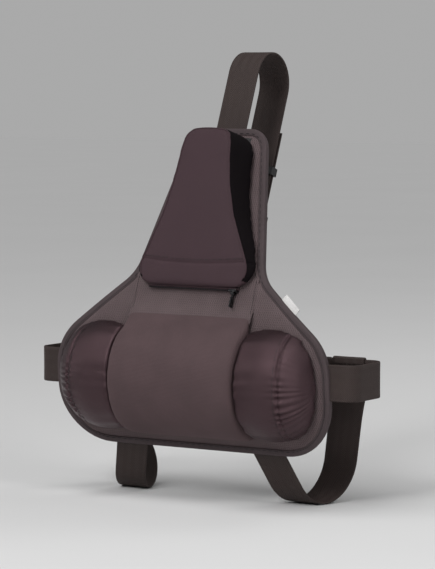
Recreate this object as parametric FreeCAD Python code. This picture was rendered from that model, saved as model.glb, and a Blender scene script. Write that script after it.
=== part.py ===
"""Strap-on back support for an office chair, in millimetres.

A bottle-shaped padded panel lies on the front of a seat back. A lumbar roll of three foam cushions
crosses its lower part, and a wedge-shaped mid-back pad holds by hook and loop above it. Webbing goes
round the sides, over the top and under the bottom of the seat back, which itself is not modelled.

The seat back's front face is an arc about the X axis with a straight run above and below it. A place
on it is given by s, the distance up along that face from the arc's middle, and by w, the distance in
front of it. The origin is on the face at the arc's middle. +X is to the right seen from the front,
+Y goes back into the seat, +Z is up.
"""

import FreeCAD
import Part
import math
import os

V = FreeCAD.Vector

# The seat back that the webbing goes round
LUMBAR_RADIUS = 230.0
LEAN = math.radians(22)
SEAT_MARGIN = 27.0
SEAT_DEPTH = 60.0
SEAT_EDGE_RADIUS = 14.0
TOP_RUN = 240.0
BOTTOM_RUN = 42.0

# Back panel, drawn in front view
PANEL_HALF_WIDTH = 171.0
PANEL_BOTTOM = -90.0
PANEL_TOP = 246.0
PANEL_THICK = 5.0
NECK_STEP = 91.0
NECK_HEIGHT = 92.0
CROWN_HALF_WIDTH = 46.0
SHOULDER_HEIGHT = 20.0
HEM_RADIUS = 60.0
SHOULDER_RADIUS = 60.0
NECK_RADIUS = 42.0
CROWN_RADIUS = 24.0
BINDING_WIDTH = 7.0
BINDING_WALL = 1.0

# Lumbar roll: an ellipse in side view, trimmed by the panel
ROLL_HEIGHT = 128.0
ROLL_FOOT_MARGIN = 10.0
ROLL_END_MARGIN = 11.0
ROLL_FRONT = -52.0
ROLL_HALF_DEPTH = 56.0
CENTRE_HALF_LENGTH = 78.0
WING_STEP = 2.5
WING_END_FLAT = 10.0
WING_FACE_RADIUS = 36.0
COVER_WALL = 1.5
SLEEVE_WALL = 1.2
FLAP_RISE = 76.0
FLAP_TUCK = 6.0
SEAM_GAP = 0.6

# Mid-back pad, in its own frame: v runs up the seat back's upper straight run
PAD_FOOT = -9.0
PAD_HEAD_MARGIN = 11.0
PAD_FOOT_HALF_WIDTH = 75.0
PAD_HIP_HALF_WIDTH = 77.0
PAD_WAIST_HALF_WIDTH = 45.0
PAD_WAIST = 98.0
PAD_HEAD_HALF_WIDTH = 38.0
PAD_FOOT_RADIUS = 14.0
PAD_HIP_RADIUS = 34.0
PAD_WAIST_RADIUS = 90.0
PAD_HEAD_RADIUS = 16.0
PAD_BAND = 27.0
PAD_FOOT_DEPTH = 13.0
PAD_SEAM_DEPTH = 23.0
PAD_MID_DEPTH = 39.0
PAD_HEAD_DEPTH = 49.0
PAD_HEAD_ROUND = 9.0
PAD_HEAD_BULGE = 1.8
LOOP_THICK = 1.2
LOOP_HALF_WIDTH = 30.0
HOOK_THICK = 1.2
HOOK_WIDTH = 20.0
HOOK_SPACING = 32.0
HOOK_HEAD_MARGIN = 22.0
HOOK_FOOT_MARGIN = 4.0

# Zip along the foot of the pad
ZIP_MARGIN = 19.0
TAPE_THICK = 0.8
CHAIN_DEPTH = 4.0
CHAIN_HEIGHT = 1.6
TAPE_DEPTH = 5.0
SLIDER_LENGTH = 9.0
SLIDER_WALL = 1.0
PULL_LENGTH = 15.0
PULL_WIDTH = 6.0
PULL_THICK = 1.6
PULL_PIN_RADIUS = 0.8
PIN_CLEAR = 0.1
PULL_EYE_WALL = 0.7
PULL_NECK_HALF_WIDTH = 1.4
PULL_NECK_LENGTH = 4.0
EAR_HALF_LENGTH = 2.0
EAR_DROP = 3.0
EAR_THICK = 1.0
EAR_GAP = 3.4
EYE_DROP = 1.7

# Webbing and its plastic fittings
STRAP_WIDTH = 38.0
STRAP_THICK = 1.8
STRAP_TAIL = 18.0
SIDE_STRAP_HEIGHT = -10.0
SIDE_STRAP_FRONT = 1.4
LOWER_STRAP_INSET = 85.0
LOWER_STRAP_SPLAY = math.radians(18)
BAR_RADIUS = 1.3
FITTING_WALL = 1.5
RAIL_WIDTH = 3.6
BUCKLE_MARGIN = 19.0
BUCKLE_HALF_LENGTH = 34.0
BUCKLE_DEPTH = 9.0
ARM_THICK = 3.4
NECK_THICK = 1.8
ARM_ROOT_RADIUS = 1.7
THUMB_PROUD = 1.2
BUCKLE_BAR_INSET = 4.0
BUCKLE_MOUTH_OFFSET = 6.0
SOCKET_HEAD = 13.0
SOCKET_WEB = 2.0
WINDOW_START = 8.0
WINDOW_MARGIN = 3.0
ARM_MARGIN = 4.5
ARM_ROOT_INSET = 1.0
CROSS_WALL = 5.0
TONGUE_HALF_WIDTH = 4.0
TONGUE_MARGIN = 2.0
SIDE_TAIL_MARGIN = 16.0
SIDE_KEEPER_MARGIN = 46.0
LADDER_FOOT = 60.0
LADDER_HEAD = 94.0
LADDER_END = 4.0
BRIDGE_HALF_LENGTH = 5.0
BRIDGE_INSET = 1.0
TOP_TAIL = 102.0
TOP_KEEPER_RISE = 56.0
KEEPER_LENGTH = 9.0

# Blank label
LABEL_LENGTH = 24.0
LABEL_WIDTH = 7.0
LABEL_THICK = 1.0

CLEAR = 0.3
FAR = 400.0
SPARE = 40.0
LOFT_STEPS = 6

ARC_END = LUMBAR_RADIUS * LEAN
STRAP_MID = PANEL_THICK / 2
REAR_IN = SEAT_DEPTH + CLEAR
REAR_OUT = REAR_IN + STRAP_THICK + CLEAR
WRAP = STRAP_THICK / 2 + BAR_RADIUS + CLEAR
PAD_REAR = PANEL_THICK + LOOP_THICK + CLEAR + HOOK_THICK
ROLL_MID_HEIGHT = PANEL_BOTTOM + ROLL_FOOT_MARGIN + ROLL_HEIGHT / 2
ROLL_HALF_LENGTH = PANEL_HALF_WIDTH - ROLL_END_MARGIN
ROLL_TOP = ROLL_MID_HEIGHT + ROLL_HEIGHT / 2
NECK_HALF_WIDTH = PANEL_HALF_WIDTH - NECK_STEP
WING_END_RADIUS = ROLL_HEIGHT / 2 - WING_END_FLAT
FLAP_TOP = ROLL_TOP + FLAP_RISE


# ---- places on the seat back -------------------------------------------------------------------

def at(s, w, x=0.0):
    """The point s up along the seat back's front face and w in front of it."""
    side = math.copysign(1.0, s)
    bend = min(abs(s), ARC_END) / LUMBAR_RADIUS
    run = max(abs(s) - ARC_END, 0.0)
    y = LUMBAR_RADIUS - (LUMBAR_RADIUS + w) * math.cos(bend) + run * math.sin(bend)
    z = (LUMBAR_RADIUS + w) * math.sin(bend) + run * math.cos(bend)
    return V(x, y, side * z)


def slope_at(s):
    """The face's lean from the vertical at s, positive where it leans back going up."""
    return math.copysign(min(abs(s), ARC_END) / LUMBAR_RADIUS, s)


def along_height(z):
    """The s of the point of the front face at height z."""
    if abs(z) <= LUMBAR_RADIUS * math.sin(LEAN):
        return LUMBAR_RADIUS * math.asin(z / LUMBAR_RADIUS)
    run = (abs(z) - LUMBAR_RADIUS * math.sin(LEAN)) / math.cos(LEAN)
    return math.copysign(ARC_END + run, z)


def face_edges(w, s0, s1):
    """The front face's profile from s0 up to s1, moved w forward."""
    stations = [s0, *[s for s in (-ARC_END, ARC_END) if s0 < s < s1], s1]
    edges = []
    for a, b in zip(stations, stations[1:]):
        if abs(a + b) / 2 < ARC_END:
            edges.append(Part.Arc(at(a, w), at((a + b) / 2, w), at(b, w)).toShape())
        else:
            edges.append(Part.makeLine(at(a, w), at(b, w)))
    return edges


def band(w0, w1, s0, s1, x0=-FAR, x1=FAR):
    """A layer of the seat back's shape, from w0 to w1 in front of it."""
    edges = face_edges(w0, s0, s1) + face_edges(w1, s0, s1)
    edges += [Part.makeLine(at(s, w0), at(s, w1)) for s in (s0, s1)]
    wire = Part.Wire(Part.__sortEdges__(edges))
    wire.translate(V(x0, 0, 0))
    return Part.Face(wire).extrude(V(x1 - x0, 0, 0))


def turned(shape, angle, place=V(0, 0, 0)):
    """shape, drawn in its own X, Y and Z, turned about X so that its Y goes up at that angle."""
    moved = shape.copy()
    turn = FreeCAD.Placement(place, FreeCAD.Rotation(V(1, 0, 0), math.degrees(angle)))
    moved.Placement = turn.multiply(shape.Placement)
    return moved


def front_view(shape):
    """From a drawing in X and height, extruded towards the front."""
    return turned(shape, math.pi / 2)


def upper_run(shape):
    """From x, v and w of the upper straight run, v = 0 at the arc's upper end."""
    return turned(shape, math.pi / 2 - LEAN, at(ARC_END, 0))


# ---- drawing ------------------------------------------------------------------------------------

def corner(before, point, after, radius):
    """The two tangent points and the middle of an arc that rounds a corner."""
    a = (before - point).normalize()
    b = (after - point).normalize()
    half = a.getAngle(b) / 2
    cut = radius / math.tan(half)
    middle = (a + b).normalize() * (radius / math.sin(half) - radius)
    return point + a * cut, point + middle, point + b * cut


def rounded(corners, radii):
    """A closed wire through corners, each rounded by its radius. A radius of 0 stays sharp."""
    points = [V(*c) for c in corners]
    edges = []
    starts = []
    for i, radius in enumerate(radii):
        point = points[i]
        if radius:
            first, middle, last = corner(points[i - 1], point, points[(i + 1) % len(points)], radius)
            edges.append(Part.Arc(first, middle, last).toShape())
        else:
            first = last = point
        starts.append((first, last))
    for i, (first, _) in enumerate(starts):
        if (first - starts[i - 1][1]).Length > 1e-6:
            edges.append(Part.makeLine(starts[i - 1][1], first))
    return Part.Wire(Part.__sortEdges__(edges))


def mirrored_outline(half, radii):
    """A closed wire from the corners of its right half, listed from the foot up."""
    left = [(-x, y) for x, y in reversed(half)]
    return rounded([*half, *left], [*radii, *reversed(radii)])


def prism(wire, low, high):
    """A wire in X and Y, filled and extruded from low to high."""
    solid = Part.Face(wire).extrude(V(0, 0, high - low))
    solid.translate(V(0, 0, low))
    return solid


def ribbon(points, radii, thick, width):
    """A strip that follows a line in X and Y with rounded corners, its width along Z about 0."""
    line = [V(*p) for p in points]
    bends = [corner(line[i], line[i + 1], line[i + 2], radius) for i, radius in enumerate(radii)]
    starts = [line[0], *[last for _, _, last in bends]]
    ends = [*[first for first, _, _ in bends], line[-1]]
    edges = []
    tips = []
    for side in (-thick / 2, thick / 2):
        runs = []
        for i, (a, b) in enumerate(zip(starts, ends)):
            across = V(0, 0, 1).cross(line[i + 1] - line[i]).normalize() * side
            runs.append((a + across, b + across))
            if (b - a).Length > 1e-6:
                edges.append(Part.makeLine(*runs[-1]))
        for i, (first, middle, _) in enumerate(bends):
            turn = (line[i + 1] - middle).normalize()
            outward = math.copysign(thick / 2, (runs[i][1] - first).dot(turn))
            edges.append(Part.Arc(runs[i][1], middle + turn * outward, runs[i + 1][0]).toShape())
        tips.append((runs[0][0], runs[-1][1]))
    edges += [Part.makeLine(*pair) for pair in zip(*tips)]
    return prism(Part.Wire(Part.__sortEdges__(edges)), -width / 2, width / 2)


def block(x0, x1, y0, y1, z0, z1):
    """A box between two corners."""
    return Part.makeBox(x1 - x0, y1 - y0, z1 - z0, V(x0, y0, z0))


def rod(x0, x1, y, z, radius):
    """A round bar along X."""
    return Part.makeCylinder(radius, x1 - x0, V(x0, y, z), V(1, 0, 0))


def fused(*shapes):
    """One solid from several."""
    whole = shapes[0]
    for shape in shapes[1:]:
        whole = whole.fuse(shape)
    return whole.removeSplitter()


def mirrored(shape):
    """The same piece on the other side."""
    return shape.mirror(V(0, 0, 0), V(1, 0, 0))


# ---- panel --------------------------------------------------------------------------------------

PANEL_CORNERS = [
    (PANEL_HALF_WIDTH, PANEL_BOTTOM),
    (PANEL_HALF_WIDTH, SHOULDER_HEIGHT),
    (NECK_HALF_WIDTH, NECK_HEIGHT),
    (CROWN_HALF_WIDTH, PANEL_TOP),
]
PANEL_RADII = [HEM_RADIUS, SHOULDER_RADIUS, NECK_RADIUS, CROWN_RADIUS]


def panel_outline():
    """The panel's edge in front view."""
    return mirrored_outline(PANEL_CORNERS, PANEL_RADII)


def layer(w0, w1):
    """A layer in front of the seat back that runs past the panel's ends."""
    return band(w0, w1, along_height(PANEL_BOTTOM) - SPARE, along_height(PANEL_TOP) + SPARE)


def inside_binding():
    """Everything within the binding's inner edge in front view."""
    inner = panel_outline().makeOffset2D(-BINDING_WIDTH - CLEAR)
    return front_view(prism(inner, -FAR, FAR))


def back_panel():
    """Mesh face, thin foam and lining, quilted into one board."""
    return layer(0, PANEL_THICK).common(front_view(prism(panel_outline(), -FAR, FAR)))


def panel_binding(panel):
    """Folded tape round the panel's edge."""
    outline = panel_outline()
    outer = outline.makeOffset2D(BINDING_WALL)
    inner = outline.makeOffset2D(BINDING_WALL - BINDING_WIDTH)
    ring = prism(outer, -FAR, FAR).cut(prism(inner, -FAR, FAR))
    tape = layer(-BINDING_WALL, PANEL_THICK + BINDING_WALL).common(front_view(ring))
    return tape.cut(panel)


def side_label(binding):
    """A blank folded label in the binding's seam, on the right shoulder."""
    foot, head = V(*PANEL_CORNERS[1]), V(*PANEL_CORNERS[2])
    run = (head - foot).normalize()
    out = V(run.y, -run.x)
    start = foot + (head - foot) * 0.5
    reach = BINDING_WALL + LABEL_WIDTH
    ends = [start, start + run * LABEL_LENGTH]
    wire = Part.makePolygon([*ends, ends[1] + out * reach, ends[0] + out * reach, ends[0]])
    tab = front_view(prism(wire, -FAR, FAR))
    middle = STRAP_MID - LABEL_THICK / 2
    solid = layer(middle, middle + LABEL_THICK).common(tab)
    outline = front_view(prism(panel_outline().makeOffset2D(BINDING_WALL), -FAR, FAR))
    return solid.cut(outline).cut(binding)


def loop_field():
    """The loop cloth that the pad's hook strips hold to."""
    foot, head = along_height(FLAP_TOP) + CLEAR, along_height(PANEL_TOP)
    strip = band(PANEL_THICK, PANEL_THICK + LOOP_THICK, foot, head, -LOOP_HALF_WIDTH, LOOP_HALF_WIDTH)
    return strip.common(inside_binding())


# ---- lumbar roll --------------------------------------------------------------------------------

def roll_prism(x0, x1, inset):
    """The roll's ellipse between two places on X, inset all round."""
    height = ROLL_HEIGHT / 2 - inset
    depth = ROLL_HALF_DEPTH - inset
    middle = ROLL_FRONT + ROLL_HALF_DEPTH
    major, minor = max(height, depth), min(height, depth)
    curve = Part.Ellipse(V(0, 0, 0), major, minor)
    face = Part.Face(Part.Wire(curve.toShape()))
    upright = 90 if height >= depth else 0
    face.rotate(V(0, 0, 0), V(0, 0, 1), upright)
    face.rotate(V(0, 0, 0), V(0, 1, 0), 90)
    face.rotate(V(0, 0, 0), V(1, 0, 0), 90)
    solid = face.extrude(V(x1 - x0, 0, 0))
    solid.translate(V(x0, middle, ROLL_MID_HEIGHT))
    return solid


def behind(w):
    """Everything behind a layer w in front of the seat back."""
    reach = ARC_END + FAR / 2
    return band(-LUMBAR_RADIUS / 2, w, -reach, reach)


def centre_sleeve():
    """Mesh sleeve over the middle cushion, with a flap that runs up under the pad."""
    ends = (-CENTRE_HALF_LENGTH, CENTRE_HALF_LENGTH)
    shell = roll_prism(*ends, 0).cut(roll_prism(*ends, SLEEVE_WALL))
    foot = along_height(ROLL_TOP - SLEEVE_WALL)
    head = along_height(FLAP_TOP)
    flap = band(PANEL_THICK, PANEL_THICK + SLEEVE_WALL, foot - FLAP_TUCK, head, *ends)
    flap = flap.common(inside_binding()).cut(roll_prism(*ends, SLEEVE_WALL))
    return fused(shell.cut(behind(PANEL_THICK)), flap)


def centre_foam():
    """Memory foam core of the middle cushion."""
    core = roll_prism(-CENTRE_HALF_LENGTH, CENTRE_HALF_LENGTH, SLEEVE_WALL)
    return core.cut(behind(PANEL_THICK))


def wing(inset):
    """The right wing cushion's outer shape, inset all round: an ellipse with a rounded outer end."""
    x0 = CENTRE_HALF_LENGTH + SEAM_GAP + inset
    x1 = ROLL_HALF_LENGTH - inset
    half = ROLL_HEIGHT / 2 - WING_STEP - inset
    low, high = ROLL_MID_HEIGHT - half, ROLL_MID_HEIGHT + half
    body = roll_prism(x0, x1, WING_STEP + inset)
    bend = WING_END_RADIUS - inset
    end = rounded([(x0, low), (x1, low), (x1, high), (x0, high)], [0, bend, bend, 0])
    body = body.common(front_view(prism(end, -FAR, FAR)))
    front = ROLL_FRONT + WING_STEP + inset
    rear = ROLL_FRONT + 2 * ROLL_HALF_DEPTH
    bend = WING_FACE_RADIUS - inset
    plan = rounded([(x0, front), (x1, front), (x1, rear), (x0, rear)], [0, bend, 0, 0])
    body = body.common(prism(plan, -FAR, FAR))
    return body.cut(behind(PANEL_THICK + inset))


# ---- mid-back pad -------------------------------------------------------------------------------

PAD_HEAD = along_height(PANEL_TOP) - ARC_END - PAD_HEAD_MARGIN
PAD_SEAM = PAD_FOOT + PAD_BAND


def pad_block(inset):
    """The pad's shape in x, v and w, inset all round."""
    foot, head = PAD_FOOT + inset, PAD_HEAD - inset
    corners = [
        (PAD_FOOT_HALF_WIDTH - inset, foot),
        (PAD_HIP_HALF_WIDTH - inset, PAD_SEAM),
        (PAD_WAIST_HALF_WIDTH - inset, PAD_WAIST),
        (PAD_HEAD_HALF_WIDTH - inset, head),
    ]
    radii = [PAD_FOOT_RADIUS - inset, PAD_HIP_RADIUS - inset, PAD_WAIST_RADIUS, PAD_HEAD_RADIUS - inset]
    body = prism(mirrored_outline(corners, radii), 0, FAR)
    rear = PAD_REAR + inset
    seam = V(PAD_SEAM, PAD_SEAM_DEPTH - inset)
    shoulder = V(PAD_HEAD - PAD_HEAD_ROUND, PAD_HEAD_DEPTH - inset)
    middle = V((PAD_SEAM + PAD_HEAD) / 2, PAD_MID_DEPTH - inset)
    top = V(head, PAD_HEAD_DEPTH - PAD_HEAD_ROUND)
    bulge = V(1, 1).normalize() * PAD_HEAD_BULGE
    round_mid = shoulder + (top - shoulder) * 0.5 + bulge
    edges = [
        Part.makeLine(V(foot, rear), V(foot, PAD_FOOT_DEPTH - inset)),
        Part.makeLine(V(foot, PAD_FOOT_DEPTH - inset), seam),
        Part.Arc(seam, middle, shoulder).toShape(),
        Part.Arc(shoulder, round_mid, top).toShape(),
        Part.makeLine(top, V(head, rear)),
        Part.makeLine(V(head, rear), V(foot, rear)),
    ]
    side = prism(Part.Wire(Part.__sortEdges__(edges)), -FAR, FAR)
    side.rotate(V(0, 0, 0), V(0, 0, 1), 90)
    side.rotate(V(0, 0, 0), V(0, 1, 0), 90)
    return body.common(side)


def pad_hook(x):
    """One strip of hook tape on the pad's back."""
    half = HOOK_WIDTH / 2
    low = along_height(FLAP_TOP) - ARC_END + HOOK_FOOT_MARGIN
    high = PAD_HEAD - HOOK_HEAD_MARGIN
    return upper_run(block(x - half, x + half, low, high, PAD_REAR - HOOK_THICK, PAD_REAR))


def zip_middle():
    """The zip's place across the pad's foot."""
    return (PAD_REAR + PAD_FOOT_DEPTH) / 2


ZIP_HALF_LENGTH = PAD_FOOT_HALF_WIDTH - ZIP_MARGIN
TAPE_LOW = PAD_FOOT - TAPE_THICK
CHAIN_LOW = TAPE_LOW - CHAIN_HEIGHT
SLIDER_LOW = CHAIN_LOW - CLEAR - SLIDER_WALL
PULL_EYE = SLIDER_LOW - EYE_DROP


def zip_chain():
    """Zip tape and its closed chain, under the pad's foot."""
    w = zip_middle()
    half = ZIP_HALF_LENGTH
    tape = block(-half, half, TAPE_LOW, PAD_FOOT, w - TAPE_DEPTH / 2, w + TAPE_DEPTH / 2)
    chain = block(-half, half, CHAIN_LOW, TAPE_LOW, w - CHAIN_DEPTH / 2, w + CHAIN_DEPTH / 2)
    return upper_run(fused(tape, chain))


def zip_slider():
    """Slider body round the chain, with two ears for the pull."""
    w = zip_middle()
    half = CHAIN_DEPTH / 2 + CLEAR
    x1 = ZIP_HALF_LENGTH - CLEAR
    x0 = x1 - SLIDER_LENGTH
    top = TAPE_LOW - CLEAR
    low = SLIDER_LOW
    body = block(x0, x1, low, top, w - half - SLIDER_WALL, w + half + SLIDER_WALL)
    body = body.cut(block(x0, x1, low + SLIDER_WALL, top, w - half, w + half))
    mid = (x0 + x1) / 2
    ears = []
    for near in (w - EAR_GAP / 2 - EAR_THICK, w + EAR_GAP / 2):
        ends = (mid - EAR_HALF_LENGTH, mid + EAR_HALF_LENGTH)
        ears.append(block(*ends, low - EAR_DROP, low, near, near + EAR_THICK))
    pin_length = EAR_GAP + EAR_THICK
    foot = V(mid, PULL_EYE, w - pin_length / 2)
    pin = Part.makeCylinder(PULL_PIN_RADIUS - PIN_CLEAR, pin_length, foot, V(0, 0, 1))
    return upper_run(fused(body, *ears, pin))


def zip_pull():
    """Pull tab that hangs from the slider's pin."""
    w = zip_middle()
    mid = ZIP_HALF_LENGTH - CLEAR - SLIDER_LENGTH / 2
    eye = PULL_EYE
    neck = PULL_NECK_HALF_WIDTH
    half = PULL_THICK / 2
    stem = block(mid - half, mid + half, eye - PULL_NECK_LENGTH, eye, w - neck, w + neck)
    foot = V(mid, eye, w - neck)
    head = Part.makeCylinder(PULL_PIN_RADIUS + PULL_EYE_WALL, 2 * neck, foot, V(0, 0, 1))
    hole = Part.makeCylinder(PULL_PIN_RADIUS, 2 * neck, foot, V(0, 0, 1))
    ends = (eye - PULL_LENGTH, eye - PULL_NECK_LENGTH)
    tab = block(mid - half, mid + half, *ends, w - PULL_WIDTH / 2, w + PULL_WIDTH / 2)
    return upper_run(fused(stem, head, tab).cut(hole))


# ---- straps -------------------------------------------------------------------------------------

def side_ribbon(points, radii):
    """Side webbing drawn in plan, at the side strap's height."""
    strip = ribbon(points, radii, STRAP_THICK, STRAP_WIDTH)
    strip.translate(V(0, 0, SIDE_STRAP_HEIGHT))
    return strip


SIDE_X = PANEL_HALF_WIDTH + SEAT_MARGIN + CLEAR + STRAP_THICK / 2
SIDE_REAR = REAR_OUT + STRAP_THICK / 2
SIDE_CORNER = SEAT_EDGE_RADIUS + STRAP_THICK / 2
LOWER_START = -along_height(PANEL_BOTTOM) - STRAP_TAIL
LOWER_TURN = ARC_END + BOTTOM_RUN
LOWER_FINISH = math.asin((STRAP_WIDTH / 2 + CLEAR - SIDE_STRAP_HEIGHT) / (LUMBAR_RADIUS - REAR_IN))
TURN_RADIUS = (STRAP_MID + REAR_IN + STRAP_THICK / 2) / 2


def lower_x(gone):
    """How far out a lower strap's middle is after that much of its way."""
    return PANEL_HALF_WIDTH - LOWER_STRAP_INSET + math.tan(LOWER_STRAP_SPLAY) * (gone - STRAP_TAIL)


def lower_way(angle):
    """A lower strap's way to where it lies at that angle behind the arc."""
    front = LOWER_TURN - LOWER_START
    return front + math.pi * TURN_RADIUS + BOTTOM_RUN + (LEAN - angle) * (LUMBAR_RADIUS - REAR_IN)


LOWER_LOOP_X = lower_x(lower_way(LOWER_FINISH))
BUCKLE_X = LOWER_LOOP_X - STRAP_WIDTH / 2 - BUCKLE_MARGIN - BUCKLE_HALF_LENGTH
PLUG_BAR = BUCKLE_X - BUCKLE_HALF_LENGTH + BUCKLE_BAR_INSET
SOCKET_BAR = BUCKLE_X + BUCKLE_HALF_LENGTH - BUCKLE_BAR_INSET
SIDE_TAIL_END = STRAP_WIDTH / 2 + SIDE_TAIL_MARGIN - LOWER_LOOP_X
SIDE_KEEPER_X = SIDE_TAIL_END + SIDE_KEEPER_MARGIN


def right_side_strap():
    """From the panel's right edge round the seat back to the buckle's socket."""
    start = PANEL_HALF_WIDTH - STRAP_TAIL
    turn = SOCKET_BAR - WRAP
    points = [
        (start, -SIDE_STRAP_FRONT),
        (SIDE_X, -SIDE_STRAP_FRONT),
        (SIDE_X, SIDE_REAR),
        (turn, SIDE_REAR),
        (turn, SIDE_REAR + 2 * WRAP),
        (SOCKET_BAR + STRAP_TAIL, SIDE_REAR + 2 * WRAP),
    ]
    return side_ribbon(points, [SIDE_CORNER, SIDE_CORNER, WRAP, WRAP])


def left_side_strap():
    """From the panel's left edge to the buckle's plug, and its free tail back along itself."""
    start = PANEL_HALF_WIDTH - STRAP_TAIL
    turn = PLUG_BAR + WRAP
    points = [
        (-start, -SIDE_STRAP_FRONT),
        (-SIDE_X, -SIDE_STRAP_FRONT),
        (-SIDE_X, SIDE_REAR),
        (turn, SIDE_REAR),
        (turn, SIDE_REAR + 2 * WRAP),
        (SIDE_TAIL_END, SIDE_REAR + 2 * WRAP),
    ]
    return side_ribbon(points, [SIDE_CORNER, SIDE_CORNER, WRAP, WRAP])


def upper_ribbon(points, radii):
    """Webbing along the upper straight run, drawn in v and w."""
    strip = ribbon(points, radii, STRAP_THICK, STRAP_WIDTH)
    strip.rotate(V(0, 0, 0), V(0, 0, 1), 90)
    strip.rotate(V(0, 0, 0), V(0, 1, 0), 90)
    return upper_run(strip)


TOP_REAR = -(REAR_OUT + STRAP_THICK / 2)
ANCHOR_REAR = -(REAR_IN + STRAP_THICK / 2)


def top_strap():
    """From the panel's head over the seat back and down to the ladder lock, with a free tail."""
    start = along_height(PANEL_TOP) - ARC_END - STRAP_TAIL
    over = (STRAP_MID - TOP_REAR) / 2
    turn = LADDER_HEAD - WRAP
    points = [
        (start, STRAP_MID),
        (TOP_RUN + over, STRAP_MID),
        (TOP_RUN + over, TOP_REAR),
        (turn, TOP_REAR),
        (turn, TOP_REAR - 2 * WRAP),
        (LADDER_HEAD + TOP_TAIL, TOP_REAR - 2 * WRAP),
    ]
    return upper_ribbon(points, [over, over, WRAP, WRAP])


def sleeve_round_side_strap(x, layers):
    """A webbing loop round the side strap at x, wide enough for one or two layers."""
    half = STRAP_WIDTH / 2
    deep = STRAP_THICK + (2 * WRAP if layers == 2 else 0)
    y0, y1 = REAR_OUT - CLEAR, REAR_OUT + deep + CLEAR
    outer = side_fitting(x - half, x + half, y0 - STRAP_THICK, y1 + STRAP_THICK, STRAP_THICK)
    return outer.cut(side_fitting(x - half, x + half, y0, y1))


def anchor_strap():
    """Short webbing from the side strap, where it makes a loop, up to the ladder lock."""
    half = STRAP_WIDTH / 2
    foot = LUMBAR_RADIUS * math.asin((SIDE_STRAP_HEIGHT + half + CLEAR) / (LUMBAR_RADIUS - REAR_IN))
    rise = band(-REAR_IN - STRAP_THICK, -REAR_IN, foot, ARC_END + 1, -half, half)
    turn = LADDER_FOOT + WRAP
    points = [
        (0, ANCHOR_REAR),
        (turn, ANCHOR_REAR),
        (turn, ANCHOR_REAR - 2 * WRAP),
        (LADDER_FOOT - STRAP_TAIL, ANCHOR_REAR - 2 * WRAP),
    ]
    return fused(sleeve_round_side_strap(0, 2), rise, upper_ribbon(points, [WRAP, WRAP]))


def lower_section(x, centre, across):
    """A lower strap's cross-section, its long side along X."""
    half = STRAP_WIDTH / 2 / math.cos(LOWER_STRAP_SPLAY)
    thick = across * (STRAP_THICK / 2)
    long = V(half, 0, 0)
    middle = centre + V(x, 0, 0)
    corners = [middle - long - thick, middle - long + thick, middle + long + thick, middle + long - thick]
    return Part.makePolygon([*corners, corners[0]])


def lower_strap():
    """Right lower strap: down from the panel, under the seat back, and up to the side strap."""
    front = V(0, -math.cos(LEAN), -math.sin(LEAN))
    down = V(0, math.sin(LEAN), -math.cos(LEAN))
    behind_by = REAR_IN + STRAP_THICK / 2
    hub = at(-LOWER_TURN, STRAP_MID - TURN_RADIUS)
    reach = LOWER_TURN - LOWER_START
    stations = []
    for step in range(LOFT_STEPS + 1):
        s = LOWER_START + reach * step / LOFT_STEPS
        stations.append((s - LOWER_START, at(-s, STRAP_MID), slope_at(s)))
    for step in range(1, 2 * LOFT_STEPS + 1):
        angle = math.pi * step / (2 * LOFT_STEPS)
        out = front * math.cos(angle) + down * math.sin(angle)
        stations.append((reach + TURN_RADIUS * angle, hub + out * TURN_RADIUS, LEAN + angle))
    gone = reach + math.pi * TURN_RADIUS
    stations.append((gone + BOTTOM_RUN, at(-ARC_END, -behind_by), LEAN + math.pi))
    for step in range(1, LOFT_STEPS + 1):
        angle = LEAN + (LOWER_FINISH - LEAN) * step / LOFT_STEPS
        stations.append((lower_way(angle), at(-angle * LUMBAR_RADIUS, -behind_by), angle + math.pi))
    sections = []
    for gone, centre, angle in stations:
        across = V(0, -math.cos(angle), -math.sin(angle))
        sections.append(lower_section(lower_x(gone), centre, across))
    web = Part.makeLoft(sections, True, True)
    return fused(web, sleeve_round_side_strap(LOWER_LOOP_X, 1))


# ---- plastic fittings ---------------------------------------------------------------------------

def side_fitting(x0, x1, y0, y1, reach=0.0):
    """A block about the side strap's height, reach past the webbing's edges."""
    half = STRAP_WIDTH / 2 + CLEAR + reach
    return block(x0, x1, y0, y1, SIDE_STRAP_HEIGHT - half, SIDE_STRAP_HEIGHT + half)


def side_bar(x):
    """A round bar along the height that side webbing wraps."""
    half = STRAP_WIDTH / 2 + CLEAR + RAIL_WIDTH / 2
    foot = V(x, SIDE_REAR + WRAP, SIDE_STRAP_HEIGHT - half)
    return Part.makeCylinder(BAR_RADIUS, 2 * half, foot, V(0, 0, 1))


BUCKLE_FRONT = REAR_OUT + CLEAR / 2
MOUTH_X = BUCKLE_X - BUCKLE_MOUTH_OFFSET
STOP_X = MOUTH_X - CLEAR
HOLLOW_END = BUCKLE_X + BUCKLE_HALF_LENGTH - SOCKET_HEAD
WINDOW_X = MOUTH_X + WINDOW_START
ARM_END = HOLLOW_END - ARM_MARGIN
INNER_HALF = STRAP_WIDTH / 2 + CLEAR + RAIL_WIDTH - FITTING_WALL
ARM_ROOT_X = STOP_X - ARM_ROOT_INSET
ARM_HEIGHT = SIDE_STRAP_HEIGHT + INNER_HALF - CLEAR - ARM_THICK / 2


def buckle_depths(inset):
    """How far back the buckle's front and rear faces are, moved in by inset."""
    return BUCKLE_FRONT + inset, BUCKLE_FRONT + BUCKLE_DEPTH - inset


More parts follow.
